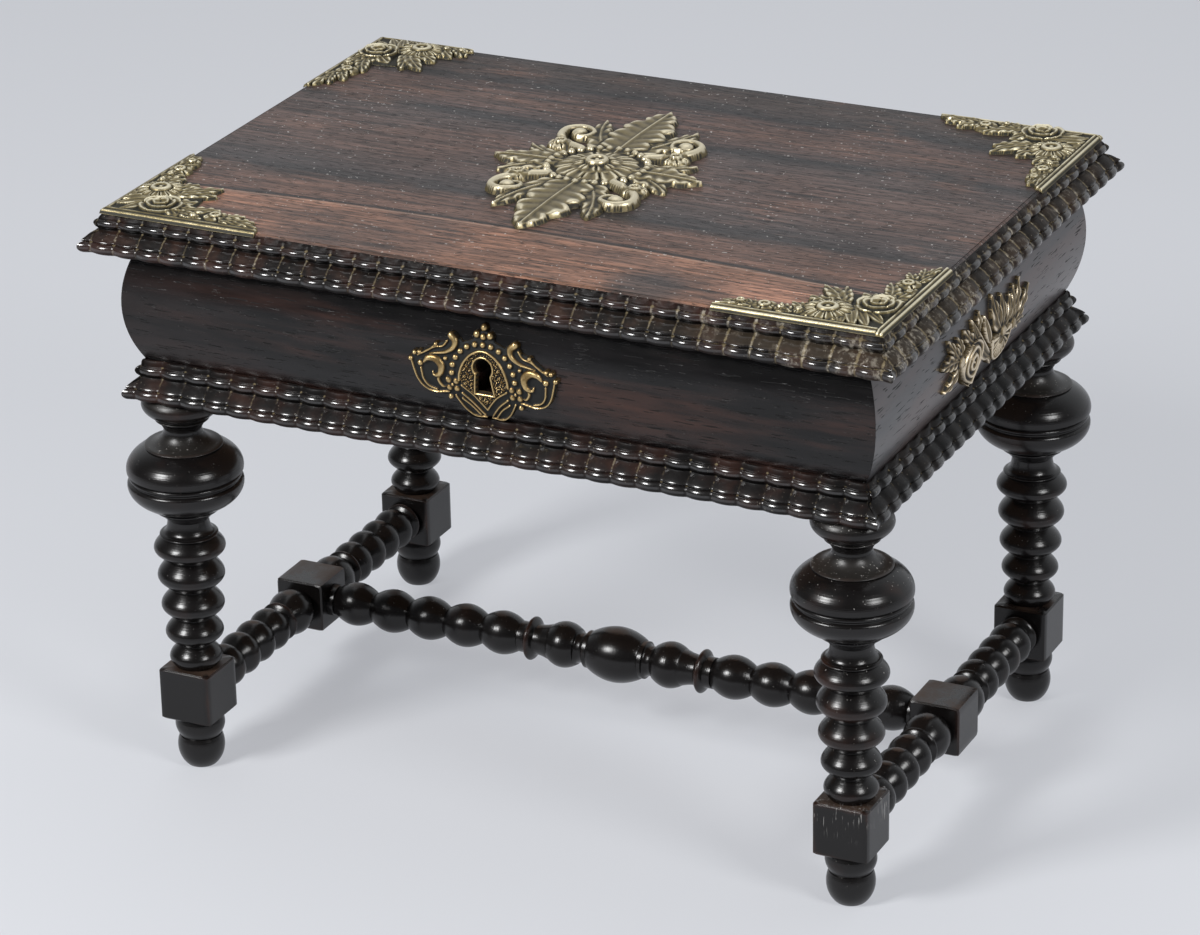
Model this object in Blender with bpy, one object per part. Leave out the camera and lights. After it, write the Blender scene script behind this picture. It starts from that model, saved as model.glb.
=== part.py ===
"""Table box on turned legs: bombe case with a hinged lid, rippled mouldings and an H stretcher.

Lengths are in metres, +Z is up, +X runs along the front to the right and +Y to the back.
The origin is on the floor, in the middle between the four feet.
"""
import math

import bmesh
import bpy
from mathutils import Matrix, Vector

MM = 0.001
GAP = 0.3 * MM          # air left between two pieces that touch

# Lid
LID_LENGTH = 330 * MM
LID_DEPTH = 236 * MM
LID_THICKNESS = 15.5 * MM
LID_OVERHANG = 16.7 * MM        # from the lid's edge in to the top edge of the case
LID_STRIP_DEPTH = 8.6 * MM      # rippled moulding round the lid

# Case
CASE_HEIGHT = 45.8 * MM         # the bulged part that shows between the mouldings
BULGE = 5.7 * MM                # how far the sides swell past their top and bottom edges
WALL_EDGE = 7.3 * MM            # wall thickness at its top edge
BULGE_STEPS = 10

# Base
BASE_STRIP_DEPTH = 7.0 * MM
BASE_STRIP_HEIGHT = 15.5 * MM
BOTTOM_THICKNESS = 12 * MM

# Ripples cut across the mouldings
RIPPLE_PITCH = 10.1 * MM
RIPPLE_DEPTH = 0.9 * MM

# Legs, from the floor up; their full beads take what is left of the height
LEG_HEIGHT = 158.3 * MM
LEG_INSET = 16.1 * MM           # from the base moulding's edge in to the leg's axis
LEG_SIDES = 12
FOOT_HEIGHT = 12.8 * MM
FOOT_RADIUS = 9.3 * MM
FOOT_PAD_RADIUS = 6.3 * MM
FOOT_RELIEF = 1.4 * MM          # depth of the notches above and below the foot's crest
COLLAR_HEIGHT = 8.9 * MM
COLLAR_RADIUS = 9.8 * MM
BLOCK_HEIGHT = 21.5 * MM
BLOCK_WIDTH = 22.2 * MM
LOW_BEAD_HEIGHT = 8.4 * MM
BEAD_COUNT = 4                  # full beads above the low one
LOW_BEAD_RADIUS = 10.4 * MM
HIGH_BEAD_RADIUS = 14.0 * MM
BEAD_RELIEF = 3.6 * MM          # depth of the valleys between beads
CUP_HEIGHT = 9.6 * MM           # hollow from the top bead's collar up to the ball
CUP_RADIUS = 11.1 * MM
CUP_LIP = 1.0 * MM
CUP_NECK = 1.5 * MM
LOW_NECK_RADIUS = 8.0 * MM
BOWL_HEIGHT = 13.6 * MM         # lower half of the ball
BALL_GROOVE = 2.0 * MM
DOME_HEIGHT = 13.4 * MM         # upper half of the ball
BALL_RADIUS = 22.6 * MM
SHOULDER_RADIUS = 14.9 * MM
SHOULDER_HEIGHT = 1.2 * MM
SCOTIA_HEIGHT = 7.8 * MM
TOP_NECK_RADIUS = 7.3 * MM
TOP_NECK_HEIGHT = 3.2 * MM
CAP_HEIGHT = 9.1 * MM
CAP_RADIUS = 15.4 * MM
CAP_FLAT = 3 * MM               # from the cap's crest in to its flat top
LEG_TENON_RADIUS = 6 * MM
LEG_TENON_LENGTH = 7.5 * MM

# Stretchers
STRETCHER_SIDES = 8
CROSS_BLOCK = 20.6 * MM         # cube in the middle of each side stretcher
ROD_TENON_RADIUS = 3.6 * MM
ROD_TENON_LENGTH = 7 * MM
SIDE_BULB_LENGTH = 15 * MM
SIDE_BULB_RADIUS = 9.4 * MM
SIDE_RING_LENGTH = 4 * MM
SIDE_RING_RADIUS = 8.3 * MM
SIDE_BEADS = 4
SIDE_BEAD_RADIUS = 8.8 * MM
SIDE_VALLEY_RADIUS = 6.6 * MM
SIDE_END_LENGTH = 4 * MM
BARREL_LENGTH = 22.4 * MM
BARREL_RADIUS = 11.3 * MM
FLANGE_LENGTH = 1.8 * MM
FLANGE_RADIUS = 7.6 * MM
ROD_NECK_LENGTH = 4.2 * MM
ROD_NECK_RADIUS = 6 * MM
ONION_LENGTH = 17.5 * MM        # onion bead with its long tail, next to the barrel
ONION_RADIUS = 9.3 * MM
DISC_LENGTH = 3.6 * MM
DISC_RADIUS = 8.8 * MM
ROD_BEADS = 5
ROD_BEAD_RADIUS = 8.8 * MM
ROD_VALLEY_RADIUS = 6.4 * MM
ROD_END_LENGTH = 2.2 * MM

# Hinges on the back wall
HINGE_LENGTH = 34 * MM
SCREW_SPREAD = 10 * MM           # from the hinge's middle to each screw
HINGE_INSET = 46 * MM           # from the inside corner of the case to the hinge's middle
LEAF_THICKNESS = 1.2 * MM
LEAF_LAND = 1.0 * MM            # wood left between the leaf and the inside of the case
KNUCKLE_RADIUS = 2.0 * MM
PIN_RADIUS = 0.8 * MM
PIN_SIDES = 10

# Screws of the hinges and the lock
SCREW_HEAD_RADIUS = 1.7 * MM
SCREW_HEAD_HEIGHT = 0.6 * MM
SCREW_SHANK_RADIUS = 0.8 * MM
SCREW_LENGTH = 8 * MM
SCREW_SIDES = 8

# Box lock in the front wall
KEYHOLE_RADIUS = 3.6 * MM
KEYHOLE_WAIST = 2.2 * MM        # half width where the slot meets the round part
KEYHOLE_FOOT = 3.5 * MM         # half width at the bottom of the slot
KEYHOLE_DROP = 10 * MM          # from the round part's centre down to the slot's end
LOCK_LENGTH = 46 * MM
LOCK_DEPTH = 5.3 * MM           # from the inside of the wall to the back of the lock
PLATE = 1.0 * MM                # sheet that the lock is made of
SELVEDGE_LENGTH = 57 * MM
BOLT_TRAVEL = 3.2 * MM
BOLT_THICKNESS = 1.2 * MM
BOLT_HEIGHT = 3.5 * MM
BOLT_TAIL = 9 * MM               # bar beyond the left staple
BOLT_POST = 2.5 * MM             # width of the posts that carry the fingers
STAPLE_SPREAD = 13 * MM         # from the middle to each staple
STAPLE_DROP = 8 * MM
STAPLE_WIDTH = 2.0 * MM
STAPLE_NOTCH = 2.6 * MM
STAPLE_LIP = 1.0 * MM
FINGER_HEIGHT = 1.8 * MM
FINGER_CLEARANCE = 0.5 * MM

# Brass mounts
MOUNT_THICKNESS = 2.0 * MM
CORNER_ARM = 67 * MM
CORNER_SPRIG = 14 * MM          # depth of the leaves along the arms
CORNER_CLUSTER = 34 * MM        # reach of the flower cluster from both edges
CORNER_RAIL_WIDTH = 4.5 * MM
CORNER_RAIL_HEIGHT = 1.0 * MM   # how far the rails stand above the plate
CORNER_SHORT_ARM = 42 * MM      # the back left mount has lost the end of one arm
CENTRE_WIDTH = 88 * MM
CENTRE_DEPTH = 136 * MM
CENTRE_SHIFT = -5 * MM           # the mount sits a little left of the middle
CENTRE_BOSS_RADIUS = 17 * MM
CENTRE_BOSS_HEIGHT = 4 * MM     # how far the boss stands above the plate
ESCUTCHEON_WIDTH = 60.5 * MM
ESCUTCHEON_LOW = 2.3 * MM       # case left bare under the escutcheon
ESCUTCHEON_HIGH = 7.2 * MM      # and above it
SIDE_MOUNT_LENGTH = 88 * MM
SIDE_MOUNT_MARGIN = 11 * MM     # case left bare above and below a side mount
SIDE_MOUNT_SHIFT = -3 * MM

# Half widths along Y. Along X everything is EXTRA longer.
EXTRA = (LID_LENGTH - LID_DEPTH) / 2
LID_HALF = LID_DEPTH / 2
CASE_EDGE = LID_HALF - LID_OVERHANG
WALL_INSIDE = CASE_EDGE - WALL_EDGE
WALL_FOOT = CASE_EDGE - GAP
BASE_HALF = CASE_EDGE + BASE_STRIP_DEPTH
LID_STRIP_BACK = LID_HALF - LID_STRIP_DEPTH
LID_BOARD_HALF = LID_STRIP_BACK - GAP
LEG_Y = BASE_HALF - LEG_INSET
LEG_X = LEG_Y + EXTRA

# Heights, from the floor up
BLOCK_BOTTOM = FOOT_HEIGHT + COLLAR_HEIGHT
BLOCK_TOP = BLOCK_BOTTOM + BLOCK_HEIGHT
ROD_Z = BLOCK_BOTTOM + BLOCK_HEIGHT / 2
CAP_BOTTOM = LEG_HEIGHT - CAP_HEIGHT
SCOTIA_BOTTOM = CAP_BOTTOM - TOP_NECK_HEIGHT - SCOTIA_HEIGHT
DOME_BOTTOM = SCOTIA_BOTTOM - SHOULDER_HEIGHT - DOME_HEIGHT
BOWL_BOTTOM = DOME_BOTTOM - BALL_GROOVE - BOWL_HEIGHT
CUP_BOTTOM = BOWL_BOTTOM - CUP_HEIGHT
BEAD_HEIGHT = (CUP_BOTTOM - BLOCK_TOP - LOW_BEAD_HEIGHT) / BEAD_COUNT
BASE_BOTTOM = LEG_HEIGHT + GAP
BASE_TOP = BASE_BOTTOM + BASE_STRIP_HEIGHT
WALL_BOTTOM = BASE_BOTTOM + BOTTOM_THICKNESS + GAP
CASE_BOTTOM = BASE_TOP + GAP
CASE_TOP = CASE_BOTTOM + CASE_HEIGHT
LID_BOTTOM = CASE_TOP + GAP
LID_TOP = LID_BOTTOM + LID_THICKNESS

# Hinge axis: in the joint between lid and case, just inside the lid's back moulding
PIN_Y = LID_BOARD_HALF - KNUCKLE_RADIUS - GAP / 3
PIN_Z = CASE_TOP + GAP / 2
HINGE_X = WALL_INSIDE + EXTRA - HINGE_INSET

# Lock: the keyhole's round part sits a little above the middle of the escutcheon
ESCUTCHEON_BOTTOM = CASE_BOTTOM + ESCUTCHEON_LOW
ESCUTCHEON_HEIGHT = CASE_HEIGHT - ESCUTCHEON_LOW - ESCUTCHEON_HIGH
KEYHOLE_Z = ESCUTCHEON_BOTTOM + 0.55 * ESCUTCHEON_HEIGHT
LOCK_BOTTOM = KEYHOLE_Z - KEYHOLE_DROP - 2 * PLATE
SELVEDGE_BOTTOM = CASE_TOP - LEAF_THICKNESS


def bulge_at(z):
    """Distance that the case wall stands out past its edges at height z: a circular arc."""
    half = CASE_HEIGHT / 2
    radius = (half ** 2 + BULGE ** 2) / (2 * BULGE)
    rise = z - (CASE_BOTTOM + half)
    return math.sqrt(max(radius ** 2 - rise ** 2, 0)) - (radius - BULGE)


def bulge_levels():
    """Heights at which the bulged wall and the plates on it have their facets."""
    return [CASE_BOTTOM + CASE_HEIGHT * i / BULGE_STEPS for i in range(BULGE_STEPS + 1)]


def closed(bm):
    """Turn all faces of a closed mesh outwards."""
    bmesh.ops.recalc_face_normals(bm, faces=bm.faces[:])
    return bm


def join(*parts):
    """Copy several closed meshes into one."""
    bm = bmesh.new()
    for part in parts:
        mesh = bpy.data.meshes.new("join")
        part.to_mesh(mesh)
        part.free()
        bm.from_mesh(mesh)
        bpy.data.meshes.remove(mesh)
    return bm


def box(x0, x1, y0, y1, z0, z1):
    """Block between two corners."""
    bm = bmesh.new()
    size = Matrix.Diagonal((x1 - x0, y1 - y0, z1 - z0, 1))
    place = Matrix.Translation(((x0 + x1) / 2, (y0 + y1) / 2, (z0 + z1) / 2))
    bmesh.ops.create_cube(bm, size=1, matrix=place @ size)
    return bm


def prism(outline, low, high, axis="Z"):
    """Outline of (a, b) points carried from low to high: (x, y) along Z, (x, z) along Y, (y, z) along X."""
    bm = bmesh.new()
    order = {"Z": lambda a, b, t: (a, b, t), "Y": lambda a, b, t: (a, t, b), "X": lambda a, b, t: (t, a, b)}
    loops = [[bm.verts.new(order[axis](a, b, t)) for a, b in outline] for t in (low, high)]
    bm.faces.new(loops[0])
    bm.faces.new(loops[1])
    count = len(outline)
    for i in range(count):
        j = (i + 1) % count
        bm.faces.new((loops[0][i], loops[0][j], loops[1][j], loops[1][i]))
    return closed(bm)


def turn(profile, sides, axis="Z", centre=(0, 0, 0), phase=0.5):
    """Turned solid: (t, r) steps along the axis; a step with a third entry is a square of half width r."""
    order = {"Z": lambda u, v, t: (u, v, t), "Y": lambda u, v, t: (u, t, v), "X": lambda u, v, t: (t, u, v)}
    bm = bmesh.new()
    rings = []
    for t, radius, *square in profile:
        ring = []
        for i in range(sides):
            angle = 2 * math.pi * (i + phase) / sides
            u, v = math.cos(angle), math.sin(angle)
            reach = radius / max(abs(u), abs(v)) if square else radius
            ring.append(bm.verts.new(Vector(order[axis](u * reach, v * reach, t)) + Vector(centre)))
        rings.append(ring)
    for low, high in zip(rings, rings[1:]):
        for i in range(sides):
            j = (i + 1) % sides
            bm.faces.new((low[i], low[j], high[j], high[i]))
    bm.faces.new(rings[0])
    bm.faces.new(rings[-1])
    return closed(bm)


def bead(start, length, edge, crest, steps=4):
    """Steps of a round bead: half an ellipse that swells from edge to crest and back."""
    points = []
    for i in range(steps):
        angle = math.pi * i / steps
        points.append((start + length * (1 - math.cos(angle)) / 2, edge + (crest - edge) * math.sin(angle)))
    return points


def hollow(start, length, wide, narrow, steps=4):
    """Steps of a cove: a quarter ellipse that sweeps in from wide to narrow."""
    points = []
    for i in range(steps + 1):
        angle = math.pi / 2 * i / steps
        points.append((start + length * (1 - math.cos(angle)), wide + (narrow - wide) * math.sin(angle)))
    return points


def mitred(section, out_half, long_half):
    """Bar along the front with 45 degree ends: (d, z) points, d outwards from out_half."""
    bm = bmesh.new()
    ends = []
    for side in (-1, 1):
        reach = [side * (long_half + d - GAP / 2) for d, z in section]
        ends.append([bm.verts.new((x, -out_half - d, z)) for x, (d, z) in zip(reach, section)])
    bm.faces.new(ends[0])
    bm.faces.new(ends[1])
    count = len(section)
    for i in range(count):
        j = (i + 1) % count
        bm.faces.new((ends[0][i], ends[0][j], ends[1][j], ends[1][i]))
    return closed(bm)


def rippled(depth, height, bottom, out_half, long_half):
    """Moulding along the front: two beads and a slope between them, crossed by even ripples.

    A row is (share of depth, share of height, share of the ripple), from the top down.
    """
    rows = [(0.45, 0.71, 1.0), (0.37, 0.555, 0.5), (0.93, 0.30, 0.7), (1.0, 0.20, 1.0), (0.9, 0.0, 0.8)]
    waves = max(2, round(2 * long_half / RIPPLE_PITCH))
    bm = bmesh.new()

    def corner(side, d, z):
        return bm.verts.new((side * (long_half + d - GAP / 2), -out_half - d, z))

    lines = []
    for out, up, share in rows:
        d, z = out * depth, bottom + up * height
        line = [corner(-1, d, z)]
        for k in range(1, 2 * waves):
            dip = 0 if k % 2 else share * RIPPLE_DEPTH
            line.append(bm.verts.new((-long_half + k * long_half / waves, -out_half - d + dip, z)))
        line.append(corner(1, d, z))
        lines.append(line)
    back = {}
    for name, z in (("top", bottom + height), ("low", bottom)):
        back[name] = (corner(-1, 0, z), corner(1, 0, z))
    for upper, lower in zip(lines, lines[1:]):
        for i in range(2 * waves):
            bm.faces.new((upper[i], upper[i + 1], lower[i + 1], lower[i]))
    for line, (left, right) in ((lines[0], back["top"]), (lines[-1], back["low"])):
        for i in range(2 * waves):
            bm.faces.new((line[i], line[i + 1], left if i < waves else right))
        bm.faces.new((left, right, line[waves]))
    bm.faces.new((*back["top"], *reversed(back["low"])))
    for end in (0, -1):
        bm.faces.new([back["top"][end], *(line[end] for line in lines), back["low"][end]])
    return closed(bm)


def curved_plate(outline, thickness):
    """Plate bent over the bulge of the front wall, cut to an outline of (x, z) points."""
    levels = bulge_levels()
    reach = max(abs(x) for x, z in outline) + MM
    back = [(CASE_EDGE + bulge_at(z) + GAP, z) for z in levels]
    front = [(y + thickness, z) for y, z in back]
    skin = prism([(-y, z) for y, z in back + front[::-1]], -reach, reach, "X")
    far = CASE_EDGE + BULGE + thickness + MM
    return skin, prism(outline, -far, -CASE_EDGE, "Y")


def keyhole(margin):
    """Outline of the keyhole, margin wider all round."""
    radius = KEYHOLE_RADIUS + margin
    waist = KEYHOLE_WAIST + margin
    points = []
    start = -math.pi / 2 + math.asin(waist / radius)
    steps = 10
    for i in range(steps + 1):
        angle = start + (2 * math.pi - 2 * math.asin(waist / radius)) * i / steps
        points.append((radius * math.cos(angle), KEYHOLE_Z + radius * math.sin(angle)))
    foot = KEYHOLE_Z - KEYHOLE_DROP - margin
    return points + [(-KEYHOLE_FOOT - margin, foot), (KEYHOLE_FOOT + margin, foot)]


def finish(name, colour, roughness, metallic=0.0):
    """Material of one piece."""
    material = bpy.data.materials.new(name)
    material.use_nodes = True
    shader = material.node_tree.nodes["Principled BSDF"]
    shader.inputs["Base Color"].default_value = (*colour, 1)
    shader.inputs["Roughness"].default_value = roughness
    shader.inputs["Metallic"].default_value = metallic
    return material


ROSEWOOD = ((0.075, 0.040, 0.030), 0.35)
EBONISED = ((0.020, 0.014, 0.012), 0.30)
MOULDING = ((0.045, 0.026, 0.020), 0.30)
PLAIN_WOOD = ((0.210, 0.120, 0.065), 0.60)
BRASS = ((0.400, 0.300, 0.130), 0.38, 1.0)
IRON = ((0.160, 0.150, 0.140), 0.45, 1.0)


def empty(name, place):
    """Empty that a group of pieces hangs on."""
    holder = bpy.data.objects.new(name, None)
    holder.location = place
    bpy.context.collection.objects.link(holder)
    return holder


def piece(name, bm, look, holder, turned=0.0, smooth=False):
    """Named piece with its own material, drawn in world places and hung on an empty."""
    bmesh.ops.rotate(bm, verts=bm.verts[:], cent=(0, 0, 0), matrix=Matrix.Rotation(turned, 3, "Z"))
    bmesh.ops.translate(bm, verts=bm.verts[:], vec=-holder.location)
    mesh = bpy.data.meshes.new(name)
    bm.to_mesh(mesh)
    bm.free()
    mesh.materials.append(finish(name, *look))
    if smooth:
        mesh.shade_smooth()
        mesh.set_sharp_from_angle(angle=math.radians(35))
    made = bpy.data.objects.new(name, mesh)
    made.parent = holder
    bpy.context.collection.objects.link(made)
    return made


def combine(target, tool, operation="DIFFERENCE"):
    """Boolean with a hidden tool mesh, drawn in world places."""
    mesh = bpy.data.meshes.new(target.name + "_tool")
    tool.to_mesh(mesh)
    tool.free()
    hidden = bpy.data.objects.new(mesh.name, mesh)
    hidden.hide_render = True
    hidden.display_type = "WIRE"
    bpy.context.collection.objects.link(hidden)
    step = target.modifiers.new(operation.lower(), "BOOLEAN")
    step.operation = operation
    step.object = hidden


SIDES = (("front", 0.0), ("right", math.pi / 2), ("back", math.pi), ("left", -math.pi / 2))
LEGS = (("front_left", -1, -1), ("front_right", 1, -1), ("back_right", 1, 1), ("back_left", -1, 1))


def halves(side, half):
    """Distance out from the middle and half length of a bar on one side of the box."""
    if side in ("front", "back"):
        return half, half + EXTRA
    return half + EXTRA, half


def leg_profile():
    """Steps of a leg, from the floor to the end of its top tenon."""
    steps = [(0, FOOT_PAD_RADIUS)]
    foot_edge = FOOT_RADIUS - FOOT_RELIEF
    steps += bead(0, FOOT_HEIGHT, foot_edge, FOOT_RADIUS)[1:]
    steps += bead(FOOT_HEIGHT, COLLAR_HEIGHT, foot_edge, COLLAR_RADIUS)
    steps += [(BLOCK_BOTTOM, foot_edge)]
    steps += [(BLOCK_BOTTOM, BLOCK_WIDTH / 2, "square"), (BLOCK_TOP, BLOCK_WIDTH / 2, "square")]
    z = BLOCK_TOP
    for i in range(BEAD_COUNT + 1):
        crest = LOW_BEAD_RADIUS + (HIGH_BEAD_RADIUS - LOW_BEAD_RADIUS) * i / BEAD_COUNT
        length = BEAD_HEIGHT if i else LOW_BEAD_HEIGHT
        steps += bead(z, length, crest - BEAD_RELIEF, crest)
        z += length
    steps += [(z, CUP_RADIUS + GAP)]
    steps += hollow(z + CUP_LIP, CUP_HEIGHT - CUP_LIP - CUP_NECK, CUP_RADIUS, LOW_NECK_RADIUS, 3)
    for i in range(5):
        angle = math.radians(20 + 70 * i / 4)
        steps += [(BOWL_BOTTOM + BOWL_HEIGHT * (1 - math.cos(angle)), BALL_RADIUS * math.sin(angle) - GAP)]
    steps += [(DOME_BOTTOM - BALL_GROOVE / 2, BALL_RADIUS - BALL_GROOVE)]
    shoulder = math.acos(min(SHOULDER_RADIUS / BALL_RADIUS, 0.95))
    for i in range(5):
        angle = shoulder * i / 4
        rise = math.sin(angle) / math.sin(shoulder)
        steps += [(DOME_BOTTOM + DOME_HEIGHT * rise, BALL_RADIUS * math.cos(angle))]
    steps += hollow(SCOTIA_BOTTOM, SCOTIA_HEIGHT, SHOULDER_RADIUS, TOP_NECK_RADIUS)
    steps += bead(CAP_BOTTOM, CAP_HEIGHT, TOP_NECK_RADIUS, CAP_RADIUS, 6)[:-1]
    steps += [(LEG_HEIGHT, CAP_RADIUS - CAP_FLAT), (LEG_HEIGHT, LEG_TENON_RADIUS)]
    steps += [(LEG_HEIGHT + LEG_TENON_LENGTH, LEG_TENON_RADIUS)]
    return steps


def mirrored(half, middle):
    """Whole rod from its half profile, which runs outwards from t = 0."""
    return [(-t, *rest) for t, *rest in reversed(half)] + middle + half


def side_rod_profile():
    """Half of a side stretcher, from the face of its block out to its tenon."""
    start = CROSS_BLOCK / 2
    end = LEG_Y - BLOCK_WIDTH / 2 - GAP
    steps = [(start, CROSS_BLOCK / 2, "square"), (start, SIDE_VALLEY_RADIUS)]
    steps += bead(start + MM, SIDE_BULB_LENGTH - MM, SIDE_VALLEY_RADIUS, SIDE_BULB_RADIUS)
    t = start + SIDE_BULB_LENGTH
    steps += bead(t, SIDE_RING_LENGTH, SIDE_VALLEY_RADIUS, SIDE_RING_RADIUS, 3)
    t += SIDE_RING_LENGTH
    pitch = (end - SIDE_END_LENGTH - t) / SIDE_BEADS
    for i in range(SIDE_BEADS):
        steps += bead(t + i * pitch, pitch, SIDE_VALLEY_RADIUS, SIDE_BEAD_RADIUS)
    steps += [(end - SIDE_END_LENGTH, SIDE_VALLEY_RADIUS), (end - SIDE_END_LENGTH / 2, SIDE_RING_RADIUS)]
    steps += [(end, SIDE_VALLEY_RADIUS), (end, ROD_TENON_RADIUS), (end + ROD_TENON_LENGTH, ROD_TENON_RADIUS)]
    return steps


def centre_rod_profile():
    """Half of the centre stretcher, from beside the middle of its barrel out to its tenon."""
    end = LEG_X - CROSS_BLOCK / 2 - GAP
    barrel = bead(-BARREL_LENGTH / 2, BARREL_LENGTH, FLANGE_RADIUS, BARREL_RADIUS, 6)
    steps = [(t, r) for t, r in barrel if t > MM]
    t = BARREL_LENGTH / 2
    steps += [(t, FLANGE_RADIUS), (t + FLANGE_LENGTH, FLANGE_RADIUS)]
    t += FLANGE_LENGTH + ROD_NECK_LENGTH
    steps += [(t - ROD_NECK_LENGTH / 2, ROD_NECK_RADIUS), (t, FLANGE_RADIUS)]
    swell = ONION_LENGTH * 0.6
    steps += bead(t + MM / 2, swell, FLANGE_RADIUS, ONION_RADIUS)
    t += ONION_LENGTH
    steps += [(t - ONION_LENGTH * 0.25, ROD_NECK_RADIUS + MM), (t, ROD_NECK_RADIUS)]
    steps += bead(t, DISC_LENGTH, ROD_VALLEY_RADIUS + MM, DISC_RADIUS, 3)
    t += DISC_LENGTH
    pitch = (end - ROD_END_LENGTH - t) / ROD_BEADS
    for i in range(ROD_BEADS):
        steps += bead(t + i * pitch, pitch, ROD_VALLEY_RADIUS, ROD_BEAD_RADIUS)
    steps += [(end - ROD_END_LENGTH, ROD_VALLEY_RADIUS), (end, ROD_VALLEY_RADIUS)]
    steps += [(end, ROD_TENON_RADIUS), (end + ROD_TENON_LENGTH, ROD_TENON_RADIUS)]
    return steps


def stand(box_holder):
    """Four legs, two side stretchers and the centre stretcher, tenoned together."""
    hole = ROD_TENON_RADIUS + GAP
    depth = ROD_TENON_LENGTH + GAP
    for name, sx, sy in LEGS:
        place = (sx * LEG_X, sy * LEG_Y, 0)
        leg = turn(leg_profile(), LEG_SIDES, centre=place)
        leg = piece("leg_" + name, leg, EBONISED, box_holder, smooth=True)
        face = sy * (LEG_Y - BLOCK_WIDTH / 2)
        socket = sorted(((face - sy * MM, hole), (face + sy * depth, hole)))
        combine(leg, turn(socket, STRETCHER_SIDES, "Y", (sx * LEG_X, 0, ROD_Z), 0))
    for name, sx in (("left", -1), ("right", 1)):
        profile = mirrored(side_rod_profile(), [])
        rod = turn(profile, STRETCHER_SIDES, "Y", (sx * LEG_X, 0, ROD_Z), 0)
        rod = piece("side_stretcher_" + name, rod, EBONISED, box_holder, smooth=True)
        face = sx * (LEG_X - CROSS_BLOCK / 2)
        socket = sorted(((face - sx * MM, hole), (face + sx * depth, hole)))
        combine(rod, turn(socket, STRETCHER_SIDES, "X", (0, 0, ROD_Z), 0))
    profile = mirrored(centre_rod_profile(), [(0, BARREL_RADIUS)])
    rod = turn(profile, STRETCHER_SIDES, "X", (0, 0, ROD_Z), 0)
    piece("centre_stretcher", rod, EBONISED, box_holder, smooth=True)


def case(box_holder):
    """Bottom board, four mitred walls with their bulge, and the rippled base moulding."""
    board = box(-WALL_FOOT - EXTRA, WALL_FOOT + EXTRA, -WALL_FOOT, WALL_FOOT, BASE_BOTTOM,
                BASE_BOTTOM + BOTTOM_THICKNESS)
    board = piece("case_bottom", board, PLAIN_WOOD, box_holder)
    wide = LEG_TENON_RADIUS + GAP
    socket = [(BASE_BOTTOM - MM, wide), (LEG_HEIGHT + LEG_TENON_LENGTH + GAP, wide)]
    places = [(sx * LEG_X, sy * LEG_Y, 0) for name, sx, sy in LEGS]
    combine(board, join(*(turn(socket, LEG_SIDES, centre=place) for place in places)))
    section = [(-WALL_EDGE, WALL_BOTTOM), (-GAP, WALL_BOTTOM), (-GAP, BASE_TOP + GAP / 2)]
    section += [(bulge_at(z), z) for z in bulge_levels()]
    section += [(-WALL_EDGE, CASE_TOP)]
    walls = {}
    for side, angle in SIDES:
        out_half, long_half = halves(side, CASE_EDGE)
        wall = mitred(section, out_half, long_half)
        walls[side] = piece("case_" + side, wall, ROSEWOOD, box_holder, angle)
        strip = rippled(BASE_STRIP_DEPTH, BASE_STRIP_HEIGHT, BASE_BOTTOM, out_half, long_half)
        piece("base_moulding_" + side, strip, MOULDING, box_holder, angle)
    return walls


def lid(lid_holder):
    """Lid board with the rippled moulding glued round its edges."""
    half = LID_BOARD_HALF
    board = box(-half - EXTRA, half + EXTRA, -half, half, LID_BOTTOM, LID_TOP)
    board = piece("lid_board", board, ROSEWOOD, lid_holder)
    for side, angle in SIDES:
        out_half, long_half = halves(side, LID_STRIP_BACK)
        strip = rippled(LID_STRIP_DEPTH, LID_THICKNESS, LID_BOTTOM, out_half, long_half)
        piece("lid_moulding_" + side, strip, MOULDING, lid_holder, angle)
    return board


def screw(name, place, up, holder, look):
    """Screw with a flat head: place is the middle of its head's face, and its shank runs up or down."""
    x, y, z = place
    head, end = z + up * SCREW_HEAD_HEIGHT, z + up * SCREW_LENGTH
    steps = [(z, SCREW_HEAD_RADIUS), (head, SCREW_HEAD_RADIUS)]
    steps += [(head, SCREW_SHANK_RADIUS), (end, SCREW_SHANK_RADIUS)]
    piece(name, turn(steps, SCREW_SIDES, centre=(x, y, 0)), look, holder, smooth=True)


def screw_hole(place, up):
    """Room for a screw, with a gap round its head and shank."""
    x, y, z = place
    head, end = z + up * (SCREW_HEAD_HEIGHT + GAP), z + up * (SCREW_LENGTH + GAP)
    wide, slim = SCREW_HEAD_RADIUS + GAP, SCREW_SHANK_RADIUS + GAP
    steps = [(z - up * MM, wide), (head, wide), (head, slim), (end, slim)]
    return turn(steps, SCREW_SIDES, centre=(x, y, 0))


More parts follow.
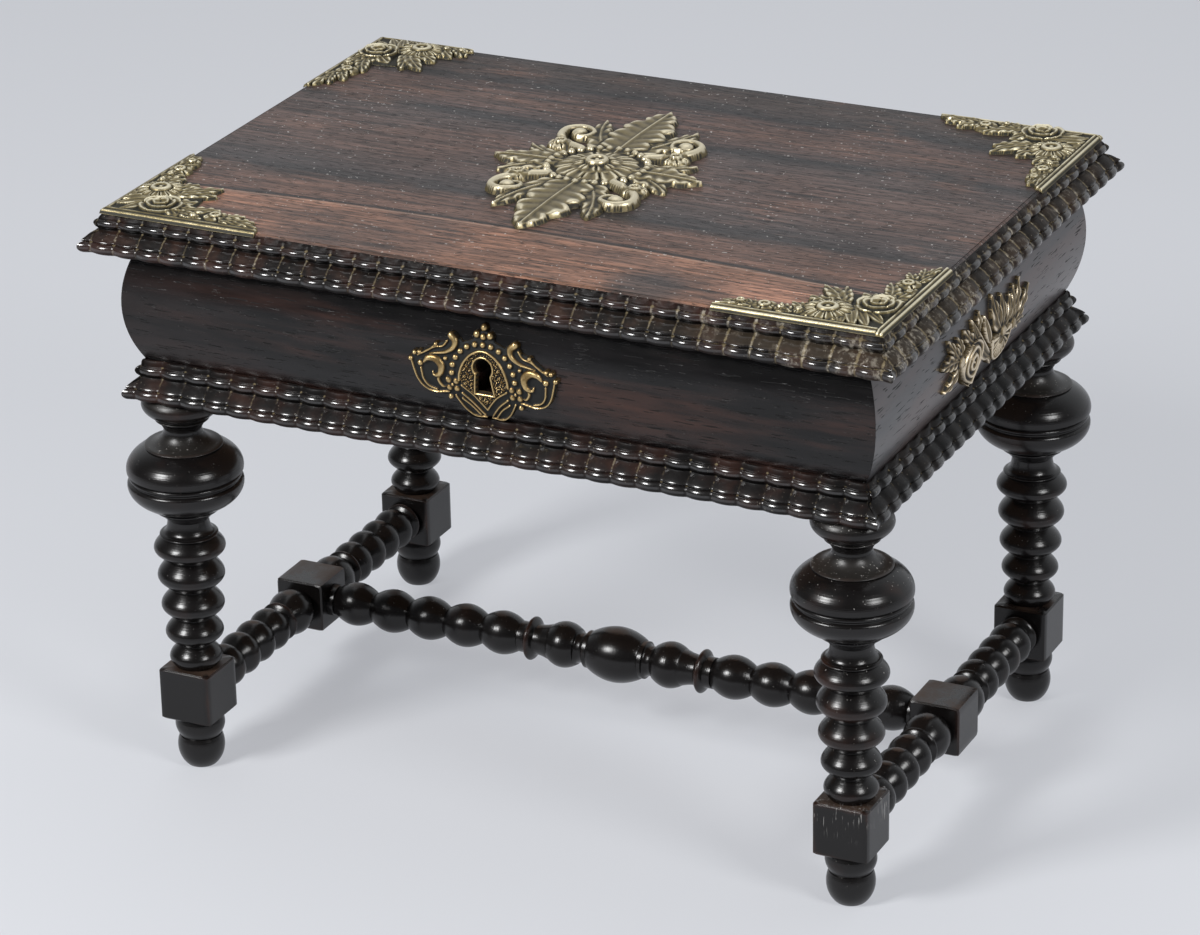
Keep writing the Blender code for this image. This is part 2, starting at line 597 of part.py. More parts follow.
def hinges(box_holder, lid_holder, board, back_wall):
    """Two butt hinges: leaves let into the back wall and the lid, three knuckles and a pin each."""
    inner = WALL_INSIDE + LEAF_LAND
    half = HINGE_LENGTH / 2
    middle = HINGE_LENGTH / 6
    roof = LID_BOTTOM + LEAF_THICKNESS
    leaf_z = {"case": (CASE_TOP - LEAF_THICKNESS, CASE_TOP), "lid": (LID_BOTTOM, roof)}
    outer, inside = middle + GAP / 2, middle - GAP / 2
    spans = {"case": ((-half, -outer), (outer, half)), "lid": ((-inside, inside),)}
    axis = (0, PIN_Y, PIN_Z)
    web_edge = PIN_Y - KNUCKLE_RADIUS - GAP
    bore = PIN_RADIUS + GAP
    screw_y = (inner + CASE_EDGE) / 2
    wall_cuts, lid_cuts = [], []
    for hand, sx in (("left", -1), ("right", 1)):
        x = sx * HINGE_X
        for part, holder in (("case", box_holder), ("lid", lid_holder)):
            low, high = leaf_z[part]
            name = "hinge_%s_%s" % (part, hand)
            leaf = piece(name, box(x - half, x + half, inner, web_edge, low, high), BRASS, holder)
            for start, end in spans[part]:
                steps = [(x + start, KNUCKLE_RADIUS), (x + end, KNUCKLE_RADIUS)]
                knuckle = turn(steps, PIN_SIDES, "X", axis)
                web = box(x + start, x + end, web_edge - MM, PIN_Y, low, high)
                combine(leaf, web, "UNION")
                combine(leaf, knuckle, "UNION")
            combine(leaf, turn([(x - half - MM, bore), (x + half + MM, bore)], PIN_SIDES, "X", axis))
            up = -1 if part == "case" else 1
            face = CASE_TOP if part == "case" else LID_BOTTOM
            places = [(x + step * SCREW_SPREAD, screw_y, face) for step in (-1, 1)]
            for number, place in enumerate(places, 1):
                screw("hinge_screw_%s_%s_%d" % (part, hand, number), place, up, holder, BRASS)
            combine(leaf, join(*(screw_hole(place, up) for place in places)))
            (wall_cuts if part == "case" else lid_cuts).extend(screw_hole(place, up) for place in places)
        pin = [(x - half - GAP, PIN_RADIUS), (x + half + GAP, PIN_RADIUS)]
        piece("hinge_pin_" + hand, turn(pin, PIN_SIDES, "X", axis), BRASS, box_holder, smooth=True)
        wide = half + GAP
        seat = CASE_TOP - LEAF_THICKNESS - GAP
        wall_cuts.append(box(x - wide, x + wide, inner - GAP, LID_HALF, seat, CASE_TOP + MM))
        groove = PIN_Z + KNUCKLE_RADIUS + GAP
        slot = [(inner - GAP, LID_BOTTOM - MM), (inner - GAP, roof + GAP), (web_edge, roof + GAP)]
        slot += [(web_edge, groove), (LID_HALF, groove), (LID_HALF, LID_BOTTOM - MM)]
        lid_cuts.append(prism(slot, x - wide - GAP, x + wide + GAP, "X"))
    for target, cuts in ((back_wall, wall_cuts), (board, lid_cuts)):
        for cut in cuts:
            combine(target, cut)


def lock(box_holder, lid_holder, board, front_wall):
    """Box lock: case, selvedge and cover in the front wall, a sliding bolt, and a keeper in the lid."""
    inside = -WALL_INSIDE
    back = inside - LOCK_DEPTH
    half = LOCK_LENGTH / 2
    edge = SELVEDGE_LENGTH / 2
    mid_y = (back + inside) / 2
    cover_back = inside - PLATE
    bolt_front = cover_back - 2 * GAP
    bolt_back = bolt_front - BOLT_THICKNESS
    staple_front = bolt_front + GAP
    staple_back = back + PLATE + GAP
    staple_low = CASE_TOP - STAPLE_DROP
    notch_low = staple_low + STAPLE_LIP
    screw_x = (half + edge) / 2

    housing = box(-half, half, back, cover_back - GAP, LOCK_BOTTOM, CASE_TOP)
    housing = piece("lock_case", housing, IRON, box_holder)
    combine(housing, box(-edge, edge, back, inside - GAP, SELVEDGE_BOTTOM, CASE_TOP), "UNION")
    combine(housing, box(-half + PLATE, half - PLATE, back + PLATE, cover_back, LOCK_BOTTOM + PLATE,
                         SELVEDGE_BOTTOM - PLATE))
    slot = STAPLE_WIDTH / 2 + 2 * GAP
    slots = [box(x - slot, x + slot, staple_back - GAP, staple_front + 2 * GAP, SELVEDGE_BOTTOM - 2 * PLATE,
                 CASE_TOP + MM) for x in (-STAPLE_SPREAD, STAPLE_SPREAD)]
    combine(housing, join(*slots))
    combine(housing, prism(keyhole(GAP), back - MM, back + PLATE + GAP, "Y"))
    selvedge_screws = [(x, mid_y, CASE_TOP) for x in (-screw_x, screw_x)]
    combine(housing, join(*(screw_hole(place, -1) for place in selvedge_screws)))

    cover = box(-half, half, cover_back, inside, LOCK_BOTTOM, SELVEDGE_BOTTOM - GAP)
    piece("lock_cover", cover, IRON, box_holder)

    bar_top = notch_low - MM
    bar_low = bar_top - BOLT_HEIGHT
    bar = box(-STAPLE_SPREAD - BOLT_TAIL, STAPLE_SPREAD, bolt_back, bolt_front, bar_low, bar_top)
    holder = empty("lock_bolt_slide", (0, (bolt_back + bolt_front) / 2, bar_top))
    bolt = piece("lock_bolt", bar, IRON, holder)
    finger_low = notch_low + GAP
    for x in (-STAPLE_SPREAD, STAPLE_SPREAD):
        tip = x - STAPLE_WIDTH / 2 - FINGER_CLEARANCE
        root = tip - BOLT_TRAVEL - GAP
        post = root - BOLT_POST
        outline = [(post, bar_top - MM), (root, bar_top - MM), (root, finger_low), (tip, finger_low)]
        outline += [(tip, finger_low + FINGER_HEIGHT), (post, finger_low + FINGER_HEIGHT)]
        combine(bolt, prism(outline, bolt_back, bolt_front, "Y"), "UNION")

    keeper = box(-edge, edge, back, inside - GAP, LID_BOTTOM, LID_BOTTOM + LEAF_THICKNESS)
    keeper = piece("lock_keeper", keeper, IRON, lid_holder)
    for x in (-STAPLE_SPREAD, STAPLE_SPREAD):
        staple = box(x - STAPLE_WIDTH / 2, x + STAPLE_WIDTH / 2, staple_back, staple_front, staple_low,
                     LID_BOTTOM + LEAF_THICKNESS / 2)
        combine(keeper, staple, "UNION")
        notch = box(x - STAPLE_WIDTH, x + STAPLE_WIDTH, bolt_back - GAP, staple_front + MM, notch_low,
                    notch_low + STAPLE_NOTCH)
        combine(keeper, notch)
    keeper_screws = [(x, mid_y, LID_BOTTOM) for x in (-screw_x, screw_x)]
    combine(keeper, join(*(screw_hole(place, 1) for place in keeper_screws)))

    for number, (low, high) in enumerate(zip(selvedge_screws, keeper_screws), 1):
        screw("lock_screw_%d" % number, low, -1, box_holder, IRON)
        screw("keeper_screw_%d" % number, high, 1, lid_holder, IRON)

    for wide, low in ((half, LOCK_BOTTOM), (edge, SELVEDGE_BOTTOM)):
        pocket = box(-wide - GAP, wide + GAP, back - GAP, inside + MM, low - GAP, CASE_TOP + MM)
        combine(front_wall, pocket)
    combine(front_wall, prism(keyhole(GAP), -LID_HALF, inside, "Y"))
    for place in selvedge_screws:
        combine(front_wall, screw_hole(place, -1))
    roof = LID_BOTTOM + LEAF_THICKNESS + GAP
    combine(board, box(-edge - GAP, edge + GAP, back - GAP, inside, LID_BOTTOM - MM, roof))
    for place in keeper_screws:
        combine(board, screw_hole(place, 1))


def corner_mount(name, sx, sy, arm, lid_holder):
    """Cast corner: a plate under the flower cluster and two leafy arms, with a rail on its outer edges."""
    corner = Vector((sx * LID_STRIP_BACK + sx * EXTRA, sy * LID_STRIP_BACK))
    low = LID_TOP + GAP
    high = low + MOUNT_THICKNESS
    rail = CORNER_RAIL_WIDTH
    sprig = CORNER_SPRIG
    reach = CORNER_CLUSTER
    long_arm = CORNER_ARM
    outline = [(0, 0), (arm, 0), (arm, rail), (max(arm - sprig, reach + 2 * GAP), sprig * 0.7)]
    outline += [(max(arm - 2 * sprig, reach + GAP), sprig), (reach, sprig), (reach, reach), (sprig, reach)]
    outline += [(sprig, long_arm - 2 * sprig), (sprig * 0.7, long_arm - sprig)]
    outline += [(rail, long_arm), (0, long_arm)]
    edge = [(0, 0), (arm, 0), (arm, rail), (rail, rail), (rail, long_arm), (0, long_arm)]

    def inward(points):
        return [(corner.x - sx * u, corner.y - sy * v) for u, v in points]

    plate = piece(name, prism(inward(outline), low, high), BRASS, lid_holder)
    top = high + CORNER_RAIL_HEIGHT
    combine(plate, prism(inward(edge), low + MOUNT_THICKNESS / 2, top), "UNION")


def centre_mount(lid_holder):
    """Cast mount in the middle of the lid: long leaves front and back, short ones beside a boss."""
    low = LID_TOP + GAP
    high = low + MOUNT_THICKNESS
    quarter = [(1.0, 0.0), (0.88, 0.12), (0.70, 0.20), (0.50, 0.23), (0.57, 0.36), (0.64, 0.48), (0.52, 0.55),
               (0.36, 0.50), (0.24, 0.47), (0.30, 0.60), (0.27, 0.74), (0.14, 0.90), (0.0, 1.0)]
    half = quarter + [(-u, v) for u, v in quarter[-2::-1]]
    shape = half + [(u, -v) for u, v in half[-2:0:-1]]
    outline = [(CENTRE_SHIFT + u * CENTRE_WIDTH / 2, v * CENTRE_DEPTH / 2) for u, v in shape]
    plate = piece("centre_mount", prism(outline, low, high), BRASS, lid_holder)
    rise = CENTRE_BOSS_HEIGHT + MOUNT_THICKNESS / 2
    start = high - MOUNT_THICKNESS / 2
    dome = [(start, CENTRE_BOSS_RADIUS)]
    for i in range(1, 4):
        angle = math.pi / 2 * i / 4
        dome.append((start + rise * math.sin(angle), CENTRE_BOSS_RADIUS * math.cos(angle)))
    combine(plate, turn(dome, LEG_SIDES, centre=(CENTRE_SHIFT, 0, 0)), "UNION")


def wall_mounts(box_holder):
    """Keyhole escutcheon on the front and a leaf spray on each end, bent over the bulge."""
    half = [(0.0, 1.0), (0.16, 0.9), (0.20, 0.80), (0.40, 0.86), (0.48, 0.79), (0.70, 0.70), (0.94, 0.60),
            (1.0, 0.53), (0.94, 0.36), (0.77, 0.21), (0.53, 0.19), (0.32, 0.04), (0.0, 0.0)]
    outline = [(u * ESCUTCHEON_WIDTH / 2, ESCUTCHEON_BOTTOM + v * ESCUTCHEON_HEIGHT) for u, v in half]
    outline += [(-x, z) for x, z in outline[-2:0:-1]]
    skin, cutter = curved_plate(outline, MOUNT_THICKNESS)
    plate = piece("escutcheon", skin, BRASS, box_holder)
    combine(plate, cutter, "INTERSECT")
    combine(plate, prism(keyhole(0), -LID_HALF, -CASE_EDGE, "Y"))

    half = [(1.0, 0.5), (0.84, 0.8), (0.62, 0.7), (0.44, 0.96), (0.16, 0.9), (0.0, 1.0)]
    low = CASE_BOTTOM + SIDE_MOUNT_MARGIN
    tall = CASE_HEIGHT - 2 * SIDE_MOUNT_MARGIN
    upper = half + [(-u, v) for u, v in half[-2::-1]]
    outline = upper + [(u, 1 - v) for u, v in upper[-2:0:-1]]
    for side, angle, away in (("right", math.pi / 2, 1), ("left", -math.pi / 2, -1)):
        points = [(away * SIDE_MOUNT_SHIFT + u * SIDE_MOUNT_LENGTH / 2, low + v * tall) for u, v in outline]
        skin, cutter = curved_plate(points, MOUNT_THICKNESS)
        for bm in (skin, cutter):
            bmesh.ops.translate(bm, verts=bm.verts[:], vec=(0, -EXTRA, 0))
            bmesh.ops.rotate(bm, verts=bm.verts[:], cent=(0, 0, 0), matrix=Matrix.Rotation(angle, 3, "Z"))
        plate = piece("side_mount_" + side, skin, BRASS, box_holder)
        combine(plate, cutter, "INTERSECT")


for old in list(bpy.data.objects):
    bpy.data.objects.remove(old, do_unlink=True)
box_root = empty("footed_box", (0, 0, 0))
lid_pivot = empty("lid_pivot", (0, PIN_Y, PIN_Z))
stand(box_root)
case_walls = case(box_root)
lid_board = lid(lid_pivot)
hinges(box_root, lid_pivot, lid_board, case_walls["back"])
lock(box_root, lid_pivot, lid_board, case_walls["front"])
for corner_name, right, rear in LEGS:
    front_arm = CORNER_SHORT_ARM if corner_name == "back_left" else CORNER_ARM
    corner_mount("corner_mount_" + corner_name, right, rear, front_arm, lid_pivot)
centre_mount(lid_pivot)
wall_mounts(box_root)
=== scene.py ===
import bpy
import numpy as np
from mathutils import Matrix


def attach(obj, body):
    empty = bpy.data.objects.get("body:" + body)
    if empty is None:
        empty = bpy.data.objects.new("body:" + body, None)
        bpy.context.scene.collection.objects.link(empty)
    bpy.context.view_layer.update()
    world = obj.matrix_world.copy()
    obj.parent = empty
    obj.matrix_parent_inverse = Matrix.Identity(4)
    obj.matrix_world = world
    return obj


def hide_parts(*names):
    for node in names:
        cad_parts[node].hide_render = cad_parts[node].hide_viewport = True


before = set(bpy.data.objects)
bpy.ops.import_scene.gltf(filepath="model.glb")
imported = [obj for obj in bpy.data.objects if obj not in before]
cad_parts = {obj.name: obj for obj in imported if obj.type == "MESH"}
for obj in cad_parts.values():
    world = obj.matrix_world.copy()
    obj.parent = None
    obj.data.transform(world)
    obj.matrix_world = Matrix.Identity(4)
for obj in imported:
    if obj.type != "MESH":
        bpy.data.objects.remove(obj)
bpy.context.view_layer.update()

# Four legs of hardwood, stained black and polished. Each is one stick, turned on the lathe but for the
# square block that takes the stretcher's tenon, and its own tenon goes up into the bottom board.
MM = 0.001
LEG_X = 139.2
LEG_Y = 92.2
LEG_PLACES = {"front_left": (-LEG_X, -LEG_Y), "front_right": (LEG_X, -LEG_Y),
              "back_right": (LEG_X, LEG_Y), "back_left": (-LEG_X, LEG_Y)}
ROUND = 2.0
SQUARE = 22.0
LEG_BLOCK = 22.2
BLOCK_BOTTOM = 21.7
BLOCK_TOP = 43.2
EASED = 0.6
FULL_RISE = 1.6


def swell(start, end, low, crest, high, power=1.0, middle=0.5, count=21):
    """Turned bead: sin(pi s)^power on the straight line between its valley radii, its crest at the middle's
    share of the way; more power widens the valleys."""
    part = (1 - np.cos(np.linspace(0, np.pi, count))) / 2
    phase = np.interp(part, (0, middle, 1), (0, 0.5, 1))
    valley = low + (high - low) * part
    rise = np.abs(np.sin(np.pi * phase)) ** power
    swelling = (crest - np.interp(0.5, phase, valley)) * rise
    return np.column_stack((start + (end - start) * part, valley + swelling))


def cove(start, end, wide, narrow, count=12):
    """Turned hollow: a quarter ellipse that leaves the wide radius flat and reaches the narrow one
    upright."""
    angle = np.linspace(0, np.pi / 2, count)
    return np.column_stack((start + (end - start) * (1 - np.cos(angle)),
                            wide - (wide - narrow) * np.sin(angle)))


def globe(start, end, middle, half_height, girth, count=20):
    """Part of a turned ball: the ellipse of that girth and half height, between two heights."""
    low, high = np.arcsin((np.array((start, end)) - middle) / half_height)
    angle = np.linspace(low, high, count)
    return np.column_stack((middle + half_height * np.sin(angle), girth * np.cos(angle)))


def squared(start, end, width, count=20):
    """Block left square on a turned stick: straight sides with eased edges at both ends."""
    along = np.concatenate(((start,), np.linspace(start + EASED, end - EASED, count), (end,)))
    half = np.full(along.size, width / 2)
    half[[0, -1]] -= EASED
    return np.column_stack((along, half))


def proud(along, radius):
    """How far a profile stands out of its own average over 8 mm: from -1 in a valley to 1 on a bead."""
    pace = 0.25
    reach = 16
    window = np.full(2 * reach + 1, 1 / (2 * reach + 1))
    even = np.arange(along[0], along[-1], pace)
    level = np.pad(np.interp(even, along, radius), reach, mode="edge")
    average = np.convolve(level, window, "valid")
    return np.clip((radius - np.interp(along, even, average)) / FULL_RISE, -1, 1)


def lay_mesh(name, points, faces, soft_angle=40, **values):
    """Object from points in millimetres and lists of face corners, with one number per point for each named
    array."""
    mesh = bpy.data.meshes.new(name)
    mesh.from_pydata((np.asarray(points) * MM).tolist(), [], faces)
    for key, array in values.items():
        numbers = np.asarray(array, np.float32).ravel()
        mesh.attributes.new(key, "FLOAT", "POINT").data.foreach_set("value", numbers)
    mesh.shade_smooth()
    mesh.set_sharp_from_angle(angle=np.radians(soft_angle))
    piece = bpy.data.objects.new(name, mesh)
    bpy.context.scene.collection.objects.link(piece)
    return piece


def turned(name, runs, axis, centre, sides=96):
    """Stick on one axis: rings of radius r, each point at r (|cos|^p + |sin|^p)^(-1/p), where p is 2 for a
    turned ring and large for a square block; the end rings are closed flat."""
    rows = np.vstack([rows for rows, power in runs])
    power = np.concatenate([np.full(len(rows), power) for rows, power in runs])[:, None]
    along, radius = rows[:, :1], rows[:, 1:]
    angle = np.arange(sides) * 2 * np.pi / sides
    section = (np.abs(np.cos(angle)) ** power + np.abs(np.sin(angle)) ** power) ** (-1 / power)
    u = radius * section * np.cos(angle)
    v = radius * section * np.sin(angle)
    w = along + 0 * u
    order = {"X": (w, u, v), "Y": (v, w, u), "Z": (u, v, w)}[axis]
    points = np.stack(order, axis=-1).reshape(-1, 3) + np.array(centre)
    ring = np.arange(len(rows) * sides).reshape(len(rows), sides)
    after = np.roll(ring, -1, axis=1)
    quads = np.stack((ring[:-1], after[:-1], after[1:], ring[1:]), axis=-1).reshape(-1, 4)
    faces = quads.tolist() + [ring[0, ::-1].tolist(), ring[-1].tolist()]
    crest = proud(along[:, 0], radius[:, 0])[:, None] + 0 * u
    block = power[:, 0] > ROUND
    middle = along[block].mean() if block.any() else 0
    reach = np.ptp(along[block]) / 2 if block.any() else 1
    wide = radius[block].max() if block.any() else 1
    edge = np.sort(np.abs(np.stack((u / wide, v / wide, (w - middle) / reach))), axis=0)[1]
    crest = np.where(block[:, None], np.clip((edge - 0.84) / 0.14, -0.3, 1), crest)
    return lay_mesh(name, points, faces, crest=crest, turning=w)


def lathe(*profiles):
    """Runs of a stick that stay round."""
    return [(rows, ROUND) for rows in profiles]


groove = np.array(((122.1, 22.5), (122.6, 22.0), (123.0, 21.3), (123.4, 21.3), (123.9, 21.8), (124.4, 21.9),
                   (124.9, 21.7), (125.3, 21.1), (125.7, 21.2), (126.1, 22.1)))
bead_rises = ((43.25, 52.4, 8.4, 10.3, 6.6, 1.05, 0.46), (52.5, 63.8, 6.6, 11.4, 7.2, 1.05, 0.45),
              (63.9, 76.1, 7.2, 12.4, 7.7, 1.05, 0.45), (76.2, 88.9, 7.7, 13.15, 8.7, 1.05, 0.45),
              (89.0, 98.8, 8.7, 13.95, 10.6, 1.0, 0.46), (98.9, 100.3, 10.4, 11.4, 10.5))
leg_runs = lathe(globe(0.0, 12.6, 8.0, 10.5, 9.3), swell(12.7, 21.65, 8.1, 9.8, 8.7))
leg_runs.append((squared(BLOCK_BOTTOM, BLOCK_TOP, LEG_BLOCK), SQUARE))
leg_runs += lathe(*[swell(*bead) for bead in bead_rises])
leg_runs += lathe(cove(100.4, 106.0, 10.5, 8.1), swell(109.4, 111.3, 11.2, 12.8, 12.4),
                  globe(111.6, 121.7, 121.2, 11.9, 22.6), groove, globe(126.4, 136.6, 127.6, 12.05, 22.7),
                  swell(136.7, 137.7, 14.7, 15.2, 14.6), cove(137.8, 144.2, 14.4, 7.4),
                  swell(147.2, 148.8, 9.2, 10.6, 10.0), swell(148.9, 158.55, 10.4, 15.4, 12.8, 0.8))
legs = [turned("turned_leg_" + name, leg_runs, "Z", place + (0,)) for name, place in LEG_PLACES.items()]


class Shade:
    """A socket of a material's nodes. Arithmetic on it adds Math nodes; node() adds any other."""

    def __init__(self, tree, socket=None):
        self.tree = tree
        self.socket = socket

    def node(self, kind, settings=None, sockets=None, out=0):
        """A node of that type: its settings first (stops fill a ramp), then its sockets' values or
        links."""
        made = self.tree.nodes.new(kind)
        settings = dict(settings or {})
        for index, (place, colour) in enumerate(settings.pop("stops", ())):
            ramp = made.color_ramp.elements
            stop = ramp[index] if index < 2 else ramp.new(place)
            stop.position = place
            stop.color = (*colour, 1)
        for key, value in settings.items():
            setattr(made, key, value)
        for key, value in (sockets or {}).items():
            if isinstance(value, Shade):
                self.tree.links.new(value.socket, made.inputs[key])
            else:
                made.inputs[key].default_value = value
        return Shade(self.tree, made.outputs[out] if made.outputs else None)

    def math(self, operation, *values):
        return self.node("ShaderNodeMath", {"operation": operation}, dict(enumerate(values)))

    def __add__(self, other):
        return self.math("ADD", self, other)

    def __sub__(self, other):
        return self.math("SUBTRACT", self, other)

    def __rsub__(self, other):
        return self.math("SUBTRACT", other, self)

    def __mul__(self, other):
        return self.math("MULTIPLY", self, other)

    def __truediv__(self, other):
        return self.math("DIVIDE", self, other)

    def __pow__(self, other):
        return self.math("POWER", self, other)

    __radd__ = __add__
    __rmul__ = __mul__

    def held(self):
        """The value held between 0 and 1."""
        return self.node("ShaderNodeClamp", None, {0: self})

    def absolute(self):
        return self.math("ABSOLUTE", self)

    def attribute(self, name):
        return self.node("ShaderNodeAttribute", {"attribute_name": name}, None, "Fac")

    def place(self, stretch=(1, 1, 1), turn=(0, 0, 0)):
        """Object coordinates in metres, stretched and turned."""
        coords = self.node("ShaderNodeTexCoord", None, None, "Object")
        return self.node("ShaderNodeMapping", None, {"Vector": coords, "Rotation": turn, "Scale": stretch})

    def axis(self, letter):
        """X, Y or Z of the object coordinates."""
        return self.node("ShaderNodeSeparateXYZ", None, {0: self.place()}, letter)

    def noise(self, where, scale, detail=3.0, roughness=0.55, distortion=0.0):
        return self.node("ShaderNodeTexNoise", None, {"Vector": where, "Scale": scale, "Detail": detail,
                                                      "Roughness": roughness, "Distortion": distortion})

    def step(self, low, high):
        """0 below low, 1 above high, eased between."""
        return self.node("ShaderNodeMapRange", {"interpolation_type": "SMOOTHSTEP"},
                         {"Value": self, "From Min": low, "From Max": high})

    def blend(self, first, second):
        """The first colour where this value is 0, the second where it is 1."""
        ends = [(*colour, 1) if isinstance(colour, tuple) else colour for colour in (first, second)]
        return self.node("ShaderNodeMix", {"data_type": "RGBA"}, {0: self, 6: ends[0], 7: ends[1]}, 2)

    def bump(self, height, distance):
        return self.node("ShaderNodeBump", None, {"Strength": 1.0, "Distance": distance, "Height": height})

    def surface(self, **sockets):
        """Closes the material with a Principled shader; names take their spaces back."""
        inputs = {key.replace("_", " "): value for key, value in sockets.items()}
        shader = self.node("ShaderNodeBsdfPrincipled", None, inputs)
        self.node("ShaderNodeOutputMaterial", None, {"Surface": shader})


def new_finish(name):
    """Empty material and the handle that adds its nodes."""
    material = bpy.data.materials.new(name)
    material.use_nodes = True
    material.node_tree.nodes.clear()
    return material, Shade(material.node_tree)


def ebonised_finish():
    """Black polish over brown wood: rubbed red brown on a few crests, bare on the blocks' tops, with lathe
    rings and white dust that lies where the wood faces up. The front right leg's block is scratched."""
    material, shade = new_finish("ebonised")
    cloud = shade.noise(shade.place(), 55, 4)
    fine = shade.noise(shade.place(), 900, 3)
    turning = shade.attribute("turning") * 2.2
    rings = shade.node("ShaderNodeTexNoise", {"noise_dimensions": "1D"},
                       {"W": turning, "Scale": 1.0, "Detail": 2.0})
    crest = shade.attribute("crest")
    facing = shade.node("ShaderNodeNewGeometry", None, None, "Normal")
    up = shade.node("ShaderNodeSeparateXYZ", None, {0: facing}, "Z")
    rubbed = (crest * 0.4 + cloud * 1.6 - 0.95).step(0.0, 0.6)
    colour = (rubbed * 0.8).blend((0.0045, 0.0038, 0.0037), (0.030, 0.0135, 0.0095))
    height = shade.axis("Z")
    bare = up.step(0.93, 0.995) * (cloud + fine * 0.4).step(0.5, 0.85) * height.step(0.052, 0.047)
    colour = (bare * 0.7).blend(colour, (0.055, 0.033, 0.022))
    dust = up.step(0.1, 0.7) * height.step(0.1362, 0.1378)
    colour = (dust * (0.04 + cloud * 0.3)).blend(colour, (0.060, 0.054, 0.047))
    x = shade.axis("X")
    y = shade.axis("Y")
    knocked = x.step(0.112, 0.122) * y.step(-0.066, -0.076)
    speck = (shade.noise(shade.place(), 1250, 1) + dust * 0.05).step(0.735, 0.79) * up.step(-0.1, 0.6)
    colour = (speck * (0.15 + knocked * 0.45 + dust * 0.2)).blend(colour, (0.5, 0.48, 0.45))
    scratch = shade.noise(shade.place((1400, 1400, 160), (0, 0.35, 0.5)), 1.0, 2).step(0.60, 0.70)
    scratch = scratch * knocked * height.step(0.028, 0.040) * height.step(0.0445, 0.0435)
    scratch = scratch * cloud.step(0.4, 0.55)
    colour = (scratch * 0.55).blend(colour, (0.45, 0.44, 0.42))
    rough = 0.16 + cloud * 0.10 + fine * 0.05 + bare * 0.3 + speck * 0.3 + dust * 0.14
    shade.surface(Base_Color=colour, Roughness=rough, Specular_IOR_Level=0.4,
                  Normal=shade.bump(rings * 0.6 + fine * 0.25, 0.00006))
    return material


ebonised = ebonised_finish()
for piece, name in zip(legs, LEG_PLACES):
    piece.data.materials.append(ebonised)
    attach(piece, "case")
    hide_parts("leg_" + name)

# H stretcher between the legs, of the same black polished wood: two side rods with a square block in the
# middle and a centre rod with a barrel, turned in beads and tenoned into the blocks.
ROD_HEIGHT = 32.45
CROSS_BLOCK = 20.6
SIDE_END = 80.95
CENTRE_END = 128.75


def both_ways(half):
    """Profile runs from the middle outwards, doubled by their mirror image."""
    flipped = [(rows[::-1] * (-1, 1), power) for rows, power in half]
    return flipped[::-1] + half


def bead_row(start, end, count, *shape):
    """Row of equal beads between two places."""
    length = (end - start) / count
    starts = start + np.arange(count) * length
    return [swell(place, place + length - 0.1, *shape) for place in starts]


side_half = lathe(swell(10.35, 25.3, 6.4, 9.4, 6.2, 0.9), swell(25.4, 29.2, 6.2, 8.2, 6.0),
                  *bead_row(29.3, SIDE_END - 4.0, 4, 5.9, 8.8, 5.9),
                  swell(SIDE_END - 3.95, SIDE_END, 6.0, 8.2, 6.4))
side_runs = both_ways(side_half)
side_runs.insert(len(side_half), (squared(-CROSS_BLOCK / 2, CROSS_BLOCK / 2, CROSS_BLOCK), SQUARE))

centre_half = lathe(np.array(((11.3, 7.6), (12.9, 7.6))), cove(12.95, 15.2, 7.4, 6.0, 6),
                    cove(17.3, 15.3, 7.3, 6.0, 6)[::-1], swell(17.35, 29.0, 7.2, 9.4, 7.3, 0.8),
                    np.array(((29.6, 7.2), (31.5, 6.6), (33.6, 6.2), (35.2, 6.2))),
                    swell(35.6, 39.4, 6.6, 8.9, 6.6), np.array(((40.4, 6.3), (42.4, 6.3))),
                    *bead_row(42.6, CENTRE_END - 2.6, 5, 5.7, 8.9, 5.7, 0.85),
                    np.array(((CENTRE_END - 2.5, 6.4), (CENTRE_END, 6.6))))
centre_runs = both_ways(centre_half)
centre_runs.insert(len(centre_half), (swell(-11.2, 11.2, 7.8, 11.3, 7.8, 0.8), ROUND))

rods = [("side_stretcher_left", side_runs, "Y", (-LEG_X, 0, ROD_HEIGHT)),
        ("side_stretcher_right", side_runs, "Y", (LEG_X, 0, ROD_HEIGHT)),
        ("centre_stretcher", centre_runs, "X", (0, 0, ROD_HEIGHT))]
for node, runs, axis, centre in rods:
    piece = turned("turned_" + node, runs, axis, centre, 64)
    piece.data.materials.append(ebonised)
    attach(piece, "case")
    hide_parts(node)


# Bottom board of plain unpolished wood, glued in between the walls and the base mouldings; the legs' tenons
# are let into it from below. It shows as it is in the solids.
def plain_wood_finish():
    """Bare brown wood with a straight grain along the box and a little dirt."""
    material, shade = new_finish("plain_wood")
    streak = shade.noise(shade.place((5, 120, 120)), 3, 5, 0.6)
    dirt_and_painted_shade = shade.noise(shade.place(), 30, 4)
    colour = streak.blend((0.12, 0.062, 0.032), (0.27, 0.155, 0.085))
    colour = (dirt_and_painted_shade.step(0.5, 0.75) * 0.5).blend(colour, (0.075, 0.045, 0.028))
    shade.surface(Base_Color=colour, Roughness=0.6 + streak * 0.25, Normal=shade.bump(streak, 0.0004))
    return material


def dress(material, *nodes):
    """Gives CAD nodes that are shown as they are their finish."""
    for node in nodes:
        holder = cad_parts[node]
        holder.data.materials.clear()
        holder.data.materials.append(material)


plain_wood = plain_wood_finish()
dress(plain_wood, "case_bottom")

